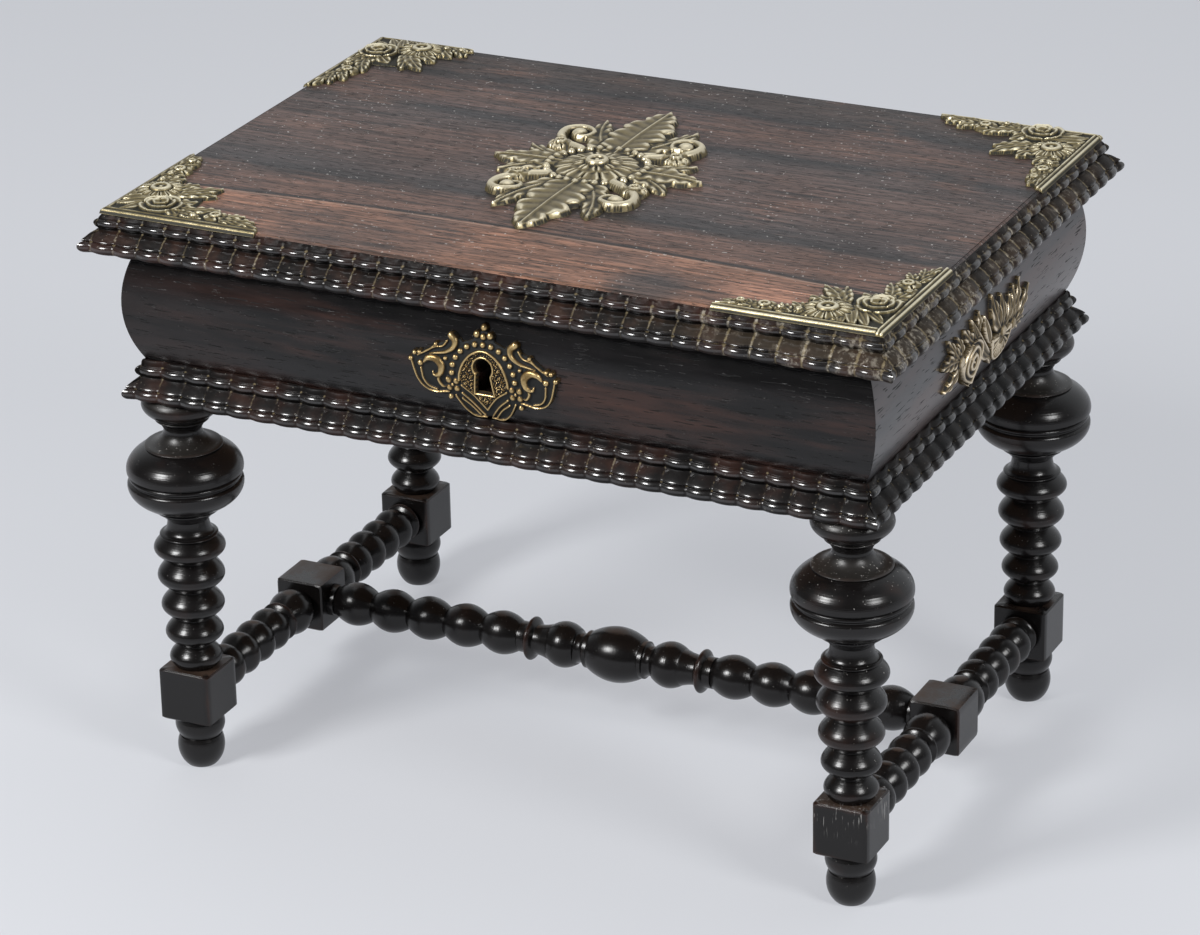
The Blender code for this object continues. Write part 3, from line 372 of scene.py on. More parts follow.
# Four case walls, mitred at the corners: a softwood ground bulged outwards and veneered with dark rosewood,
# the grain running along each wall. The front one is cut for the lock and keyhole, the back one for the
# hinges.
EXTRA_LENGTH = 47.0
CASE_EDGE = 101.3
WALL_INSIDE = 94.0
WALL_FOOT = 101.0
WALL_BOTTOM = 170.9
CASE_BOTTOM = 174.4
CASE_TOP = 220.2
BULGE = 5.7
BULGE_MIDDLE = (CASE_BOTTOM + CASE_TOP) / 2
BULGE_RADIUS = (((CASE_TOP - CASE_BOTTOM) / 2) ** 2 + BULGE ** 2) / (2 * BULGE)
MITRE_GAP = 0.1
KEYHOLE_MIDDLE = 196.665
KEYHOLE_EYE = 3.6
KEYHOLE_FOOT = 186.665
LET_IN = 218.7
CLEAR = 221.0
SIDES = {"front": ((1, 0), (0, -1), 0.0), "right": ((0, 1), (1, 0), EXTRA_LENGTH),
         "back": ((-1, 0), (0, 1), 0.0), "left": ((0, -1), (-1, 0), EXTRA_LENGTH)}


def bulge_out(height):
    """Distance of the case's outer face from the middle: a circular arc between its two edges."""
    return CASE_EDGE + BULGE - BULGE_RADIUS + np.sqrt(BULGE_RADIUS ** 2 - (height - BULGE_MIDDLE) ** 2)


def on_side(side, run, out, height):
    """Points from the distance along one side, out from the middle (as at the front) and up."""
    (run_x, run_y), (out_x, out_y), reach = SIDES[side]
    far = out + reach
    return np.stack((run * run_x + far * out_x, run * run_y + far * out_y, height + 0 * run), axis=-1)


def half_run(side, out):
    """Where the mitre cuts a side: as far along as the next side lies out."""
    return out + EXTRA_LENGTH - SIDES[side][2] - MITRE_GAP / 2


def strip(name, side, run, out, height, **values):
    """Closed strip along a side: a loop of out and height, up the face and down the back, at every run."""
    points = on_side(side, run, out, height)
    stations, loop = run.shape
    index = np.arange(stations * loop).reshape(stations, loop)
    after = np.roll(index, -1, axis=1)
    quads = np.stack((index[:-1], index[1:], after[1:], after[:-1]), axis=-1).reshape(-1, 4)
    faces = quads.tolist() + [index[0].tolist(), index[-1, ::-1].tolist()]
    return lay_mesh(name, points.reshape(-1, 3), faces, 35, **values)


def plain_box(name, low, high):
    """Box between two corners, as a cutter."""
    corner = np.array(np.meshgrid((0, 1), (0, 1), (0, 1), indexing="ij")).reshape(3, -1).T
    points = np.array(low) + corner * (np.array(high) - np.array(low))
    faces = [[0, 1, 3, 2], [4, 6, 7, 5], [0, 4, 5, 1], [2, 3, 7, 6], [0, 2, 6, 4], [1, 5, 7, 3]]
    return lay_mesh(name, points, faces)


def keyhole_cutter():
    """Keyhole through the front wall: a round eye over a foot that widens downwards."""
    angle = np.linspace(np.radians(-52), np.radians(232), 28)
    outline = np.column_stack((KEYHOLE_EYE * np.cos(angle), KEYHOLE_MIDDLE + KEYHOLE_EYE * np.sin(angle)))
    outline = np.vstack((outline, ((-3.5, KEYHOLE_FOOT), (3.5, KEYHOLE_FOOT))))
    near, far = -115.0, -90.0
    count = len(outline)
    points = np.vstack([np.column_stack((outline[:, 0], np.full(count, y), outline[:, 1]))
                        for y in (near, far)])
    index = np.arange(count)
    after = np.roll(index, -1)
    quads = np.stack((index, after, after + count, index + count), axis=-1)[:, ::-1]
    ends = [index.tolist(), (index[::-1] + count).tolist()]
    return lay_mesh("keyhole_cutter", points, quads.tolist() + ends)


def cut_away(piece, cutters):
    """Takes the cutters' shapes out of a piece and removes them."""
    for cutter in cutters:
        tool = piece.modifiers.new("cut", "BOOLEAN")
        tool.operation = "DIFFERENCE"
        tool.solver = "EXACT"
        tool.object = cutter
    shaped = piece.evaluated_get(bpy.context.evaluated_depsgraph_get())
    old = piece.data
    piece.data = bpy.data.meshes.new_from_object(shaped)
    piece.modifiers.clear()
    bpy.data.meshes.remove(old)
    for cutter in cutters:
        bpy.data.objects.remove(cutter)
    piece.data.shade_smooth()
    piece.data.set_sharp_from_angle(angle=np.radians(35))


def wall_finish(name, stretch, turn, ground, rough, sheen, redden):
    """Dark rosewood on the bulge: near black ground with red brown streaks a little askew and fine open
    pores. Sheen is how much it mirrors, and the red comes in between the two places along x that redden
    gives."""
    material, shade = new_finish(name)
    grain = shade.place(stretch, turn)
    streak = shade.noise(grain, 4.2, 4, 0.6, 0.6)
    thread = shade.noise(grain, 26, 3, 0.6)
    pore = shade.noise(shade.place(tuple(v * (7 if v > 1 else 4.5) for v in stretch), turn), 24, 1, 0.5)
    right = shade.axis("X").step(*redden)
    red = (streak + thread * 0.3).step(0.57, 0.85) * (right * 0.8 + 0.2)
    colour = thread.step(0.35, 0.65).blend(ground, tuple(v * 2.2 for v in ground))
    colour = (red * 0.9).blend(colour, (0.047, 0.0208, 0.0148))
    dark = pore.step(0.64, 0.69)
    colour = (dark * 0.9).blend(colour, (0.002, 0.0017, 0.0017))
    speck = shade.noise(shade.place(), 1300, 1).step(0.785, 0.84)
    colour = (speck * 0.35).blend(colour, (0.3, 0.29, 0.27))
    height = thread * 0.2 - dark * 0.6
    shade.surface(Base_Color=colour, Roughness=rough + thread * 0.06 + dark * 0.55,
                  Normal=shade.bump(height, 0.00012), Specular_IOR_Level=sheen)
    return material


front_veneer = wall_finish("rosewood_long", (1, 9, 9), (0, np.radians(12), 0),
                           ground=(0.0038, 0.0034, 0.0036), rough=0.20, sheen=0.32, redden=(-0.15, -0.05))
# The short sides' ground is lighter and bluer than the long sides': a painted sheen of the bright floor,
# over the mirrored sheen.
side_veneer_painted_sheen = wall_finish("rosewood_short", (9, 1, 9), (np.radians(-4), 0, 0),
                          ground=(0.014, 0.0138, 0.0152), rough=0.26, sheen=0.85, redden=(-1.0, 1.0))

arc = np.linspace(CASE_BOTTOM, CASE_TOP - 0.4, 40)
wall_out = np.concatenate(((WALL_FOOT, WALL_FOOT), bulge_out(arc),
                           (CASE_EDGE - 0.4, WALL_INSIDE, WALL_INSIDE)))
wall_height = np.concatenate(((WALL_BOTTOM, CASE_BOTTOM - 0.2), arc, (CASE_TOP, CASE_TOP, WALL_BOTTOM)))
part = np.linspace(-1, 1, 25)[:, None]
cuts = {"front": lambda: [plain_box("pocket", (-23.3, -99.6, 184.4), (23.3, -93.0, CLEAR)),
                          plain_box("rebate", (-28.8, -99.6, LET_IN), (28.8, -93.0, CLEAR)),
                          keyhole_cutter()],
        "back": lambda: [plain_box("mortise_left", (-112.3, 94.7, LET_IN), (-77.7, 112.0, CLEAR)),
                         plain_box("mortise_right", (77.7, 94.7, LET_IN), (112.3, 112.0, CLEAR))]}
for side in SIDES:
    wall = strip("wall_" + side, side, part * half_run(side, wall_out), wall_out, wall_height)
    if side in cuts:
        cut_away(wall, cuts[side]())
    wall.data.materials.append(front_veneer if side in ("front", "back") else side_veneer_painted_sheen)
    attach(wall, "case")
    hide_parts("case_" + side)

# Rippled mouldings of dark hardwood round the base, mitred and glued on: two tiers scraped in waves, high
# polish on the crests, old polish and dust left in the hollows.
BASE_BACK = 101.3
BASE_TOP = 174.1
RIPPLE = 1.05
SOFTNESS = 0.2
WAVE_STEPS = 14
VENEER_EDGE = 1.2
BASE_PROFILE = ((5.8, 15.4), (6.5, 14.9), (7.1, 14.0), (7.3, 13.1), (7.1, 12.2), (6.5, 11.4), (5.7, 11.0),
                (6.1, 10.6), (5.7, 9.9), (4.1, 8.4), (2.4, 7.0), (2.3, 6.5), (3.1, 5.5), (3.5, 4.4),
                (3.2, 3.3), (2.4, 2.6), (1.7, 2.3), (1.6, 1.4), (1.2, 0.3), (0.6, 0.0))
BASE_LINES = (2.3, 6.7, 11.0)


def smooth_path(points, steps):
    """Catmull-Rom curve through the points, with that many steps to a span."""
    points = np.asarray(points, float)
    ends = np.vstack((2 * points[0] - points[1], points, 2 * points[-1] - points[-2]))
    a, b, c, d = ends[:-3], ends[1:-2], ends[2:-1], ends[3:]
    t = np.linspace(0, 1, steps, endpoint=False)[:, None, None]
    bend = 2 * a - 5 * b + 4 * c - d
    twist = 3 * b - a - 3 * c + d
    curve = (2 * b + (c - a) * t + bend * t ** 2 + twist * t ** 3) / 2
    return np.vstack((curve.transpose(1, 0, 2).reshape(-1, points.shape[1]), points[-1:]))


def rippled(name, side, profile, back, top, waves, plain, lines):
    """Rippled strip: the profile is sunk towards the box by depth (1 - |sin(pi x / pitch)|^0.8), softened a
    little, so crests are round and hollows narrow, with a crest on each mitre. What lies less than plain
    out stays straight; lines are how far down the quirks between the mouldings lie. For the finish it marks
    the hollows, the shelf between the tiers, the seams, the dull upper and lower brow and the quirk under
    the upper bead, which the finish paints dark as shade."""
    curve = smooth_path(profile, 3)
    weight = np.append(np.clip((curve[:, 0] - plain) / 0.5, 0, 1), 0)
    out = back + np.append(curve[:, 0], 0)
    height = top - np.append(curve[:, 1], profile[0][1])
    reach = half_run(side, back + curve[:, 0].max())
    pitch = 2 * reach / waves
    straight = half_run(side, back) - 1.5 * pitch
    count = int(np.ceil(reach / pitch * WAVE_STEPS))
    station = (np.arange(-count, count + 1) * pitch / WAVE_STEPS)[:, None]
    over = np.clip((np.abs(station) - straight) / (station.max() - straight), 0, 1)
    mitred = over * (half_run(side, out) - straight)
    run = np.sign(station) * (np.minimum(np.abs(station), straight) + mitred)
    wave = np.sqrt(np.sin(np.pi * run / pitch) ** 2 + SOFTNESS ** 2) - SOFTNESS
    hollow = 1 - (wave / (np.sqrt(1 + SOFTNESS ** 2) - SOFTNESS)) ** 0.8
    below = top - height

    def band(level):
        """Share from 0 to 1 down the profile, the same all along the run."""
        return np.clip(level, 0, 1) + 0 * run

    shelf = band(np.minimum(below - lines[1], lines[2] - 0.9 - below) / 0.6 + 0.5)
    seam = band(1.4 - np.abs(below[:, None] - np.array(lines)).min(1) / 0.3)
    brow = band(np.maximum(lines[0] - below, below - below.max() + 1.7) / 0.5 + 0.5)
    # Band under the upper bead, which the finish paints dark as shade.
    quirk = band(np.minimum(below - lines[1] + 1.7, lines[1] + 0.4 - below) / 0.4)
    piece = strip(name, side, run, out - RIPPLE * hollow * weight, height + 0 * run, hollow=hollow * weight,
                  shelf=shelf, seam=seam, brow=brow, quirk=quirk)
    bevel = np.zeros((len(station) - 1, len(out)), int)
    bevel[:, np.flatnonzero(curve[:, 0] < VENEER_EDGE)] = 1
    faces = np.append(bevel.ravel(), (0, 0))
    piece.data.polygons.foreach_set("material_index", faces.astype(np.int32))
    return piece


def moulding_finish(name, dark, warm, chalk, rough, shine, corner=0.0):
    """Dark gloss over brown wood, with dried polish in the waves' hollows, the quirks and on the shelf
    between the tiers: chalk sets how much of it, corner how much more at the front right. The band under
    the upper bead is painted near black as shade, without gloss. The polish shines where the wave is less
    deep than the first two shine limits, and loses the third's share of it on the shelf."""
    material, shade = new_finish(name)
    cloud = shade.noise(shade.place(), 70, 4)
    fine = shade.noise(shade.place(), 650, 4, 0.65)
    x = shade.axis("X")
    y = shade.axis("Y")
    near = x.step(0.03, 0.15) * y.step(0.02, -0.115) * corner
    chalk = near + chalk
    crest = shade.attribute("hollow").step(*shine[:2])
    brow = shade.attribute("brow")
    hollow = shade.attribute("hollow").step(0.72, 1.0)
    shelf = shade.attribute("shelf")
    seam = shade.attribute("seam")
    colour = cloud.step(0.42, 0.74).blend(dark, warm)
    # Painted shade: the band under the upper bead goes near black, less so in the waves' hollows, and loses
    # its gloss.
    dirt_and_painted_shade = shade.attribute("quirk") * (1 - hollow * 0.7)
    colour = (dirt_and_painted_shade * 0.92).blend(colour, (0.0016, 0.0013, 0.0012))
    film = (shelf * 0.5 + cloud * 0.9 + fine * 0.3 + near * 2 + chalk).step(1.05, 1.65)
    colour = (film * 0.55).blend(colour, (0.052, 0.039, 0.026))
    dried = hollow * 0.55 + seam * 0.45 - dirt_and_painted_shade * 0.5 + shelf * 0.15 + fine * 0.9 + cloud * 0.5 + chalk
    cream = dried.step(1.22, 1.68)
    colour = (cream * 0.8).blend(colour, (0.19, 0.152, 0.088))
    smear = shade.noise(shade.place((1, 1, 0.5)), 430, 4, 0.65).step(0.48, 0.72)
    white = smear * (hollow * 0.3 + cloud + chalk * 1.5).step(0.70, 1.1)
    colour = (white * 0.75).blend(colour, (0.50, 0.455, 0.375))
    speck = shade.noise(shade.place(), 1100, 1).step(0.72, 0.78)
    colour = (speck * 0.5).blend(colour, (0.30, 0.27, 0.22))
    matt = (film * 0.5 + cream + white + speck * 0.5).held()
    coat = crest * (1 - matt) * (1 - brow) * (1 - dirt_and_painted_shade) * (1 - shelf * shine[2])
    shade.surface(Base_Color=colour, Roughness=0.35 + cloud * 0.2, Specular_IOR_Level=0.12,
                  Coat_Weight=coat, Coat_Roughness=rough, Coat_IOR=1.62,
                  Normal=shade.bump(fine * 0.4 + cloud, 0.0003))
    return material


base_front = moulding_finish("moulding_base", dark=(0.0045, 0.0037, 0.0035), warm=(0.025, 0.0105, 0.0074),
                             chalk=-0.09, rough=0.17, shine=(1.1, 0.7, 0.4))
base_end = moulding_finish("moulding_base_end", dark=(0.004, 0.0036, 0.0034), warm=(0.012, 0.009, 0.0075),
                           chalk=-0.14, rough=0.12, shine=(0.5, 0.08, 0.95))
for side, waves in (("front", 31), ("right", 21), ("back", 31), ("left", 21)):
    piece = rippled("ripple_base_" + side, side, BASE_PROFILE, BASE_BACK, BASE_TOP, waves, 0.2, BASE_LINES)
    piece.data.materials.append(base_front if side in ("front", "back") else base_end)
    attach(piece, "case")
    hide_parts("base_moulding_" + side)


# Lid board, a flat panel veneered with wide rosewood leaves whose streaks run from end to end: red brown at
# the front, grey and darker towards the back, with a thin dark arched line, open pores and a dull dusty
# polish.
def lid_finish():
    """A warm front leaf ends at an arch y = -68 mm - x'^2 / 3 m; behind it bands by depth, all with
    streaks, grain, pores and dust specks. Two dark spots and a pale one lie on the front leaf."""
    material, shade = new_finish("rosewood_lid")
    x = shade.axis("X")
    y = shade.axis("Y")
    slow = shade.noise(shade.place((4, 14, 0)), 2.4, 3, 0.5) - 0.5
    patch = shade.noise(shade.place((9, 20, 0)), 2.0, 4, 0.6)
    behind = y + 0.068 + (x + 0.02) * (x + 0.02) * 0.33 + slow * 0.002
    bands = ((0.0, (0.060, 0.034, 0.027)), (0.13, (0.090, 0.047, 0.033)), (0.235, (0.078, 0.043, 0.032)),
             (0.275, (0.016, 0.0135, 0.0135)), (0.32, (0.034, 0.026, 0.025)), (0.43, (0.062, 0.037, 0.030)),
             (0.55, (0.064, 0.039, 0.032)), (0.635, (0.044, 0.030, 0.027)), (0.668, (0.012, 0.0105, 0.011)),
             (0.705, (0.050, 0.029, 0.024)), (0.76, (0.068, 0.036, 0.026)), (0.83, (0.048, 0.027, 0.022)),
             (0.865, (0.0085, 0.0075, 0.008)), (0.90, (0.026, 0.018, 0.016)), (0.95, (0.034, 0.022, 0.018)),
             (1.0, (0.018, 0.014, 0.0135)))
    rear = shade.node("ShaderNodeValToRGB", {"stops": bands}, {0: (y + slow * 0.014 + 0.1) / 0.21})
    rear = (patch.step(0.52, 0.72) * 0.45).blend(rear, (0.115, 0.056, 0.036))
    warm = patch.step(0.30, 0.62).blend((0.072, 0.040, 0.029), (0.170, 0.082, 0.050))
    spots = (((-0.056, -0.1), (0.04, 0.024), 1.0, 1.3, 0.55, (0.040, 0.024, 0.019)),
             ((0.063, -0.107), (0.018, 0.02), 1.5, 1.2, 0.8, (0.026, 0.021, 0.02)),
             ((0.106, -0.09), (0.024, 0.011), 1.5, 1.2, 0.6, (0.30, 0.145, 0.092)))
    for (at_x, at_y), (wide, deep), ragged, edge, strength, tint in spots:
        spot = (((x - at_x) / wide) ** 2 + ((y - at_y) / deep) ** 2 + slow * ragged).step(edge, 0.1)
        warm = (spot * strength).blend(warm, tint)
    colour = behind.step(-0.0006, 0.0006).blend(warm, rear)
    line = ((behind - 0.0012) / 0.0018).absolute().step(1.0, 0.2)
    streak = shade.noise(shade.place((5, 120, 0)), 2.2, 4, 0.6, 0.25)
    thread = shade.noise(shade.place((16, 290, 0)), 2.0, 4, 0.65)
    pore = shade.noise(shade.place((190, 1500, 0)), 1.0, 2, 0.5)
    dark = pore.step(0.56, 0.66)
    tone = 0.02 + streak.step(0.3, 0.7) * 0.85 + thread.step(0.32, 0.68) * 1.45
    colour = shade.node("ShaderNodeVectorMath", {"operation": "SCALE"}, {0: colour, "Scale": tone})
    colour = (dark * 0.75).blend(colour, (0.006, 0.0045, 0.004))
    colour = (line * 0.9).blend(colour, (0.008, 0.0065, 0.006))
    # Painted highlight: a thin pale line along the front leaf's arched joint.
    rim = ((behind + 0.0009) / 0.0008).absolute().step(1.0, 0.3)
    colour = (rim * 0.45).blend(colour, (0.33, 0.22, 0.16))
    speck = (shade.noise(shade.place(), 760, 1, 0.4) + patch * 0.12).step(0.785, 0.83)
    film = shade.noise(shade.place(), 18, 4).step(0.35, 0.75)
    colour = (speck * 0.6).blend(colour, (0.55, 0.53, 0.5))
    height = thread * 0.4 + streak * 0.2 - dark * 0.6
    rough = 0.38 + thread * 0.12 + dark * 0.15 + film * 0.10
    shade.surface(Base_Color=colour, Roughness=rough, Specular_IOR_Level=0.4,
                  Normal=shade.bump(height, 0.0003))
    return material


lid_veneer = lid_finish()
dress(lid_veneer, "lid_board")

# Rippled mouldings of the same wood round the lid, mitred and glued to its edges: as on the base but
# deeper, with more old polish dried white in the hollows. Their flat upper edge is veneered with the board.
LID_BACK = 109.4
LID_TOP = 236.0
LID_PROFILE = ((6.9, 15.5), (7.7, 15.0), (8.4, 14.1), (8.65, 13.2), (8.5, 12.3), (7.8, 11.5), (6.9, 11.1),
               (7.4, 10.6), (7.1, 10.1), (6.4, 9.6), (4.9, 8.2), (2.9, 7.1), (2.8, 6.6), (3.7, 5.6),
               (4.1, 4.6), (3.8, 3.6), (3.0, 3.1), (2.5, 3.0), (2.4, 2.5), (1.2, 1.1), (0.0, 0.0))
LID_LINES = (3.0, 6.8, 11.1)

lid_front = moulding_finish("moulding_lid", dark=(0.0055, 0.0042, 0.0038), warm=(0.032, 0.0124, 0.0085),
                            chalk=0.04, rough=0.15, shine=(1.1, 0.7, 0.3), corner=0.19)
lid_end = moulding_finish("moulding_lid_end", dark=(0.009, 0.0068, 0.0056), warm=(0.034, 0.020, 0.0135),
                          chalk=0.17, rough=0.14, shine=(0.5, 0.08, 0.95), corner=0.13)
for side, waves in (("front", 33), ("right", 23), ("back", 33), ("left", 23)):
    piece = rippled("ripple_lid_" + side, side, LID_PROFILE, LID_BACK, LID_TOP, waves, 1.2, LID_LINES)
    piece.data.materials.append(lid_front if side in ("front", "back") else lid_end)
    piece.data.materials.append(lid_veneer)
    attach(piece, "lid")
    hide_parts("lid_moulding_" + side)


# Two brass butt hinges with their pins and screws, let into the back wall and the lid, and the iron box
# lock with its bolt, keeper and screws. They show as they are in the solids.
def worn_metal_finish(name, light, dark, metal_roughness):
    """Plain worn metal: clouds of tarnish over a brighter ground, with fine scratches in the bump."""
    material, shade = new_finish(name)
    cloud = shade.noise(shade.place(), 160, 5, 0.6)
    scratch = shade.noise(shade.place((30, 900, 300)), 1.5, 3)
    colour = cloud.step(0.35, 0.7).blend(light, dark)
    shade.surface(Base_Color=colour, Metallic=1.0, Roughness=metal_roughness + cloud * 0.25,
                  Normal=shade.bump(scratch, 0.00008))
    return material


hinge_brass = worn_metal_finish("brass_plain", (0.46, 0.35, 0.16), (0.16, 0.12, 0.06), 0.25)
lock_iron = worn_metal_finish("iron", (0.2, 0.19, 0.18), (0.07, 0.055, 0.045), 0.4)
dress(hinge_brass, *[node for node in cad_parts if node.startswith("hinge_")])
dress(lock_iron, *[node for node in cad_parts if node.startswith(("lock_", "keeper_"))])

# Keyhole escutcheon of thin cast brass, bent to the bulge and pinned on: an arch round a framed keyhole on
# a stippled ground, a border of beads, a ball finial, and a leafy scroll on each side. Dark in the hollows,
# partly patina and partly painted shade.
SEAT_GAP = 0.03


def within(a, b, outline):
    """True inside a closed outline: counts how often each point's line to the right crosses its edges."""
    start = np.asarray(outline, float)
    odd = np.zeros(a.shape, bool)
    for (x0, y0), (x1, y1) in zip(start, np.roll(start, -1, axis=0)):
        crosses = (y0 > b) != (y1 > b)
        odd ^= crosses & (a < (x1 - x0) * (b - y0) / (y1 - y0 + 1e-9) + x0)
    return odd


def half_round(distance, half, height):
    """Half round bar of that half width about distance 0."""
    return height * np.sqrt(np.clip(1 - (distance / half) ** 2, 0, 1))


def highest(*parts):
    """The tallest of several reliefs at each point."""
    return np.maximum.reduce(parts)


def laid_over(rise, motif, least):
    """Relief with a motif on it, which hides what is under it and is nowhere lower than the least
    height."""
    return np.where(motif > 0, np.maximum(motif, least), rise)


def dome(a, b, centre, radius, height):
    """Round bead on the ground."""
    return half_round(np.hypot(a - centre[0], b - centre[1]), radius, height)


def ridge(a, b, points, half, height, steps=6):
    """Raised line along a smooth path; half gives its half width at evenly spaced places along it."""
    path = smooth_path(points, steps)
    half = np.interp(np.linspace(0, 1, len(path)), np.linspace(0, 1, np.size(half)), np.atleast_1d(half))
    rise = np.zeros(a.shape)
    for (x0, y0), (x1, y1), h0, h1 in zip(path[:-1], path[1:], half[:-1], half[1:]):
        dx, dy = x1 - x0, y1 - y0
        part = np.clip(((a - x0) * dx + (b - y0) * dy) / (dx * dx + dy * dy), 0, 1)
        wide = h0 + (h1 - h0) * part
        apart = np.hypot(a - x0 - part * dx, b - y0 - part * dy)
        rise = np.maximum(rise, half_round(apart, wide, height * np.minimum(1, wide / half.max() + 0.35)))
    return rise


def leaf(a, b, root, tip, width, bend=0.0, form=(0.6, 0.8), height=1.6, lobes=0, veins=0, rib=0.35):
    """Leaf: its half width goes as s^f (1 - s)^g along a rib bent to a parabola, its section is cupped with
    a raised rib; lobes notch the edge and veins crease the face."""
    dx, dy = tip[0] - root[0], tip[1] - root[1]
    length = np.hypot(dx, dy)
    along = ((a - root[0]) * dx + (b - root[1]) * dy) / length ** 2
    across = ((b - root[1]) * dx - (a - root[0]) * dy) / length - bend * 4 * along * (1 - along)
    s = np.clip(along, 1e-4, 1 - 1e-4)
    widest = form[0] / sum(form)
    half = width / 2 * (s ** form[0] * (1 - s) ** form[1]) / (widest ** form[0] * (1 - widest) ** form[1])
    if lobes:
        half = half * (1 - 0.32 * (1 - np.abs(np.sin(np.pi * lobes * s ** 0.85))))
    t = np.clip(np.abs(across) / half, 0, 1)
    swelling = 0.5 + 0.5 * np.sin(np.pi * np.clip(s * 0.9 + 0.1, 0, 1))
    face = swelling * (0.5 + 0.5 * t * t) * np.sqrt(1 - t ** 6)
    crease = -rib * np.exp(-(across / 0.4) ** 2)
    if veins:
        crease = crease + 0.34 * t * (1 + np.cos(2 * np.pi * (veins * s - 0.7 * t)))
    inside = (along > 0) & (along < 1) & (t < 1)
    return np.where(inside, np.maximum(height * face - crease, 0.12), 0)


def daisy(a, b, centre, radius, petals, height, eye, turn=0.0):
    """Flower seen from above: petals are half rounds in angle, rising towards the rim, round a beaded
    eye."""
    du, dv = a - centre[0], b - centre[1]
    reach = np.hypot(du, dv) / radius
    phase = ((np.arctan2(dv, du) + turn) * petals / (2 * np.pi)) % 1 * 2 - 1
    rim = 1 - 0.16 * phase ** 2
    side = np.clip(np.abs(phase) * (1.0 + 0.12 / np.clip(reach * 2, 0.2, 9)), 0, 1)
    face = (0.55 + 0.45 * side ** 2) * np.sqrt(1 - side ** 8)
    rise = height * (0.45 + 0.55 * np.sin(np.pi * np.clip(reach, 0, 1) ** 1.2)) * (0.15 + 0.85 * face)
    flower = np.where(reach < rim, np.maximum(rise, 0.15), 0)
    ring = half_round((reach - eye) * radius, 0.17 * radius, height * 1.15)
    centre_bead = half_round(reach * radius, eye * radius * 0.62, height * 1.05)
    cup = np.where(reach < eye, height * 0.35, 0)
    return np.where(reach < eye + 0.17, np.maximum(np.maximum(ring, centre_bead), cup), flower)


def cast(name, first, second, height, seat, plate=0.7, rubbed=0.0):
    """Cast mount: the height over a flat grid, raised by the plate's thickness, falling to nothing one cell
    outside its outline, closed by a flat back and laid on its seat. The grid's two directions and the
    outside are right handed. Ridge is the height less its blurred self, so edges count as high and hollows
    as low, more so where it is rubbed; the finish darkens the low parts, partly as patina and partly as
    painted shade."""
    metal = height > 0.01
    level = np.where(metal, height + plate, 0)
    soft = np.where(metal, level, plate + 0.15)
    for _ in range(9):
        soft = (soft + np.roll(soft, 1, 0) + np.roll(soft, -1, 0)) / 3
        soft = (soft + np.roll(soft, 1, 1) + np.roll(soft, -1, 1)) / 3
    high = np.clip((level - soft) / 0.5 + np.clip((height - 0.8) / 1.6, -0.3, 0.3), -1, 1)
    high = np.where(metal, np.clip(high + rubbed, -1, 1), 0.15)
    kept = metal[:-1, :-1] | metal[1:, :-1] | metal[1:, 1:] | metal[:-1, 1:]
    used = np.zeros(metal.shape, bool)
    for rows, cols in ((slice(None, -1), slice(None, -1)), (slice(1, None), slice(None, -1)),
                       (slice(1, None), slice(1, None)), (slice(None, -1), slice(1, None))):
        used[rows, cols] |= kept
    front = np.full(metal.shape, -1)
    front[used] = np.arange(used.sum())
    back = front.copy()
    back[metal] = used.sum() + np.arange(metal.sum())

    def corners(index):
        return np.stack((index[:-1, :-1], index[1:, :-1], index[1:, 1:], index[:-1, 1:]), axis=-1)[kept]

    points = np.vstack((seat(first[used], second[used], level[used] + SEAT_GAP),
                        seat(first[metal], second[metal], np.full(metal.sum(), SEAT_GAP))))
    faces = corners(front).tolist() + corners(back)[:, ::-1].tolist()
    values = np.concatenate((high[used], np.full(metal.sum(), -1.0)))
    return lay_mesh(name, points, faces, 75, ridge=values)


def grid(low, high, cell):
    """Flat grid of points with a margin of two cells."""
    axes = [np.arange(start - 2 * cell, end + 3 * cell, cell) for start, end in zip(low, high)]
    return np.meshgrid(*axes, indexing="ij")


def wall_seat(side):
    """Lays a mount on a case wall: along it, up it, and out along the bulge's own normal."""
    def place(run, up, rise):
        lean = (up - BULGE_MIDDLE) / BULGE_RADIUS
        return on_side(side, run, bulge_out(up) + rise * np.sqrt(1 - lean ** 2), up + rise * lean)
    return place


def cast_brass_finish(name, deep, face, bright, metal=0.7):
    """Old cast brass: dark green grey in the hollows, partly patina and partly painted shade, olive gold
    faces, rubbed pale on the ridges.
    """
    material, shade = new_finish(name)
    high = shade.attribute("ridge")
    cloud = shade.noise(shade.place(), 130, 4)
    fine = shade.noise(shade.place(), 1100, 3)
    level = high + (cloud - 0.5) * 0.5 + (fine - 0.5) * 0.35
    # Low ridge values take the dark colour: patina, and painted shade in the recesses.
    colour = level.step(-0.2, 0.45).blend(deep, face)
    colour = level.step(0.45, 1.0).blend(colour, bright)
    clean = level.step(-0.25, 0.6)
    shade.surface(Base_Color=colour, Metallic=metal * (0.4 + clean * 0.6),
                  Roughness=0.62 - clean * 0.30 + fine * 0.1,
                  Normal=shade.bump(fine * 0.5 + cloud * 0.5, 0.00012))
    return material


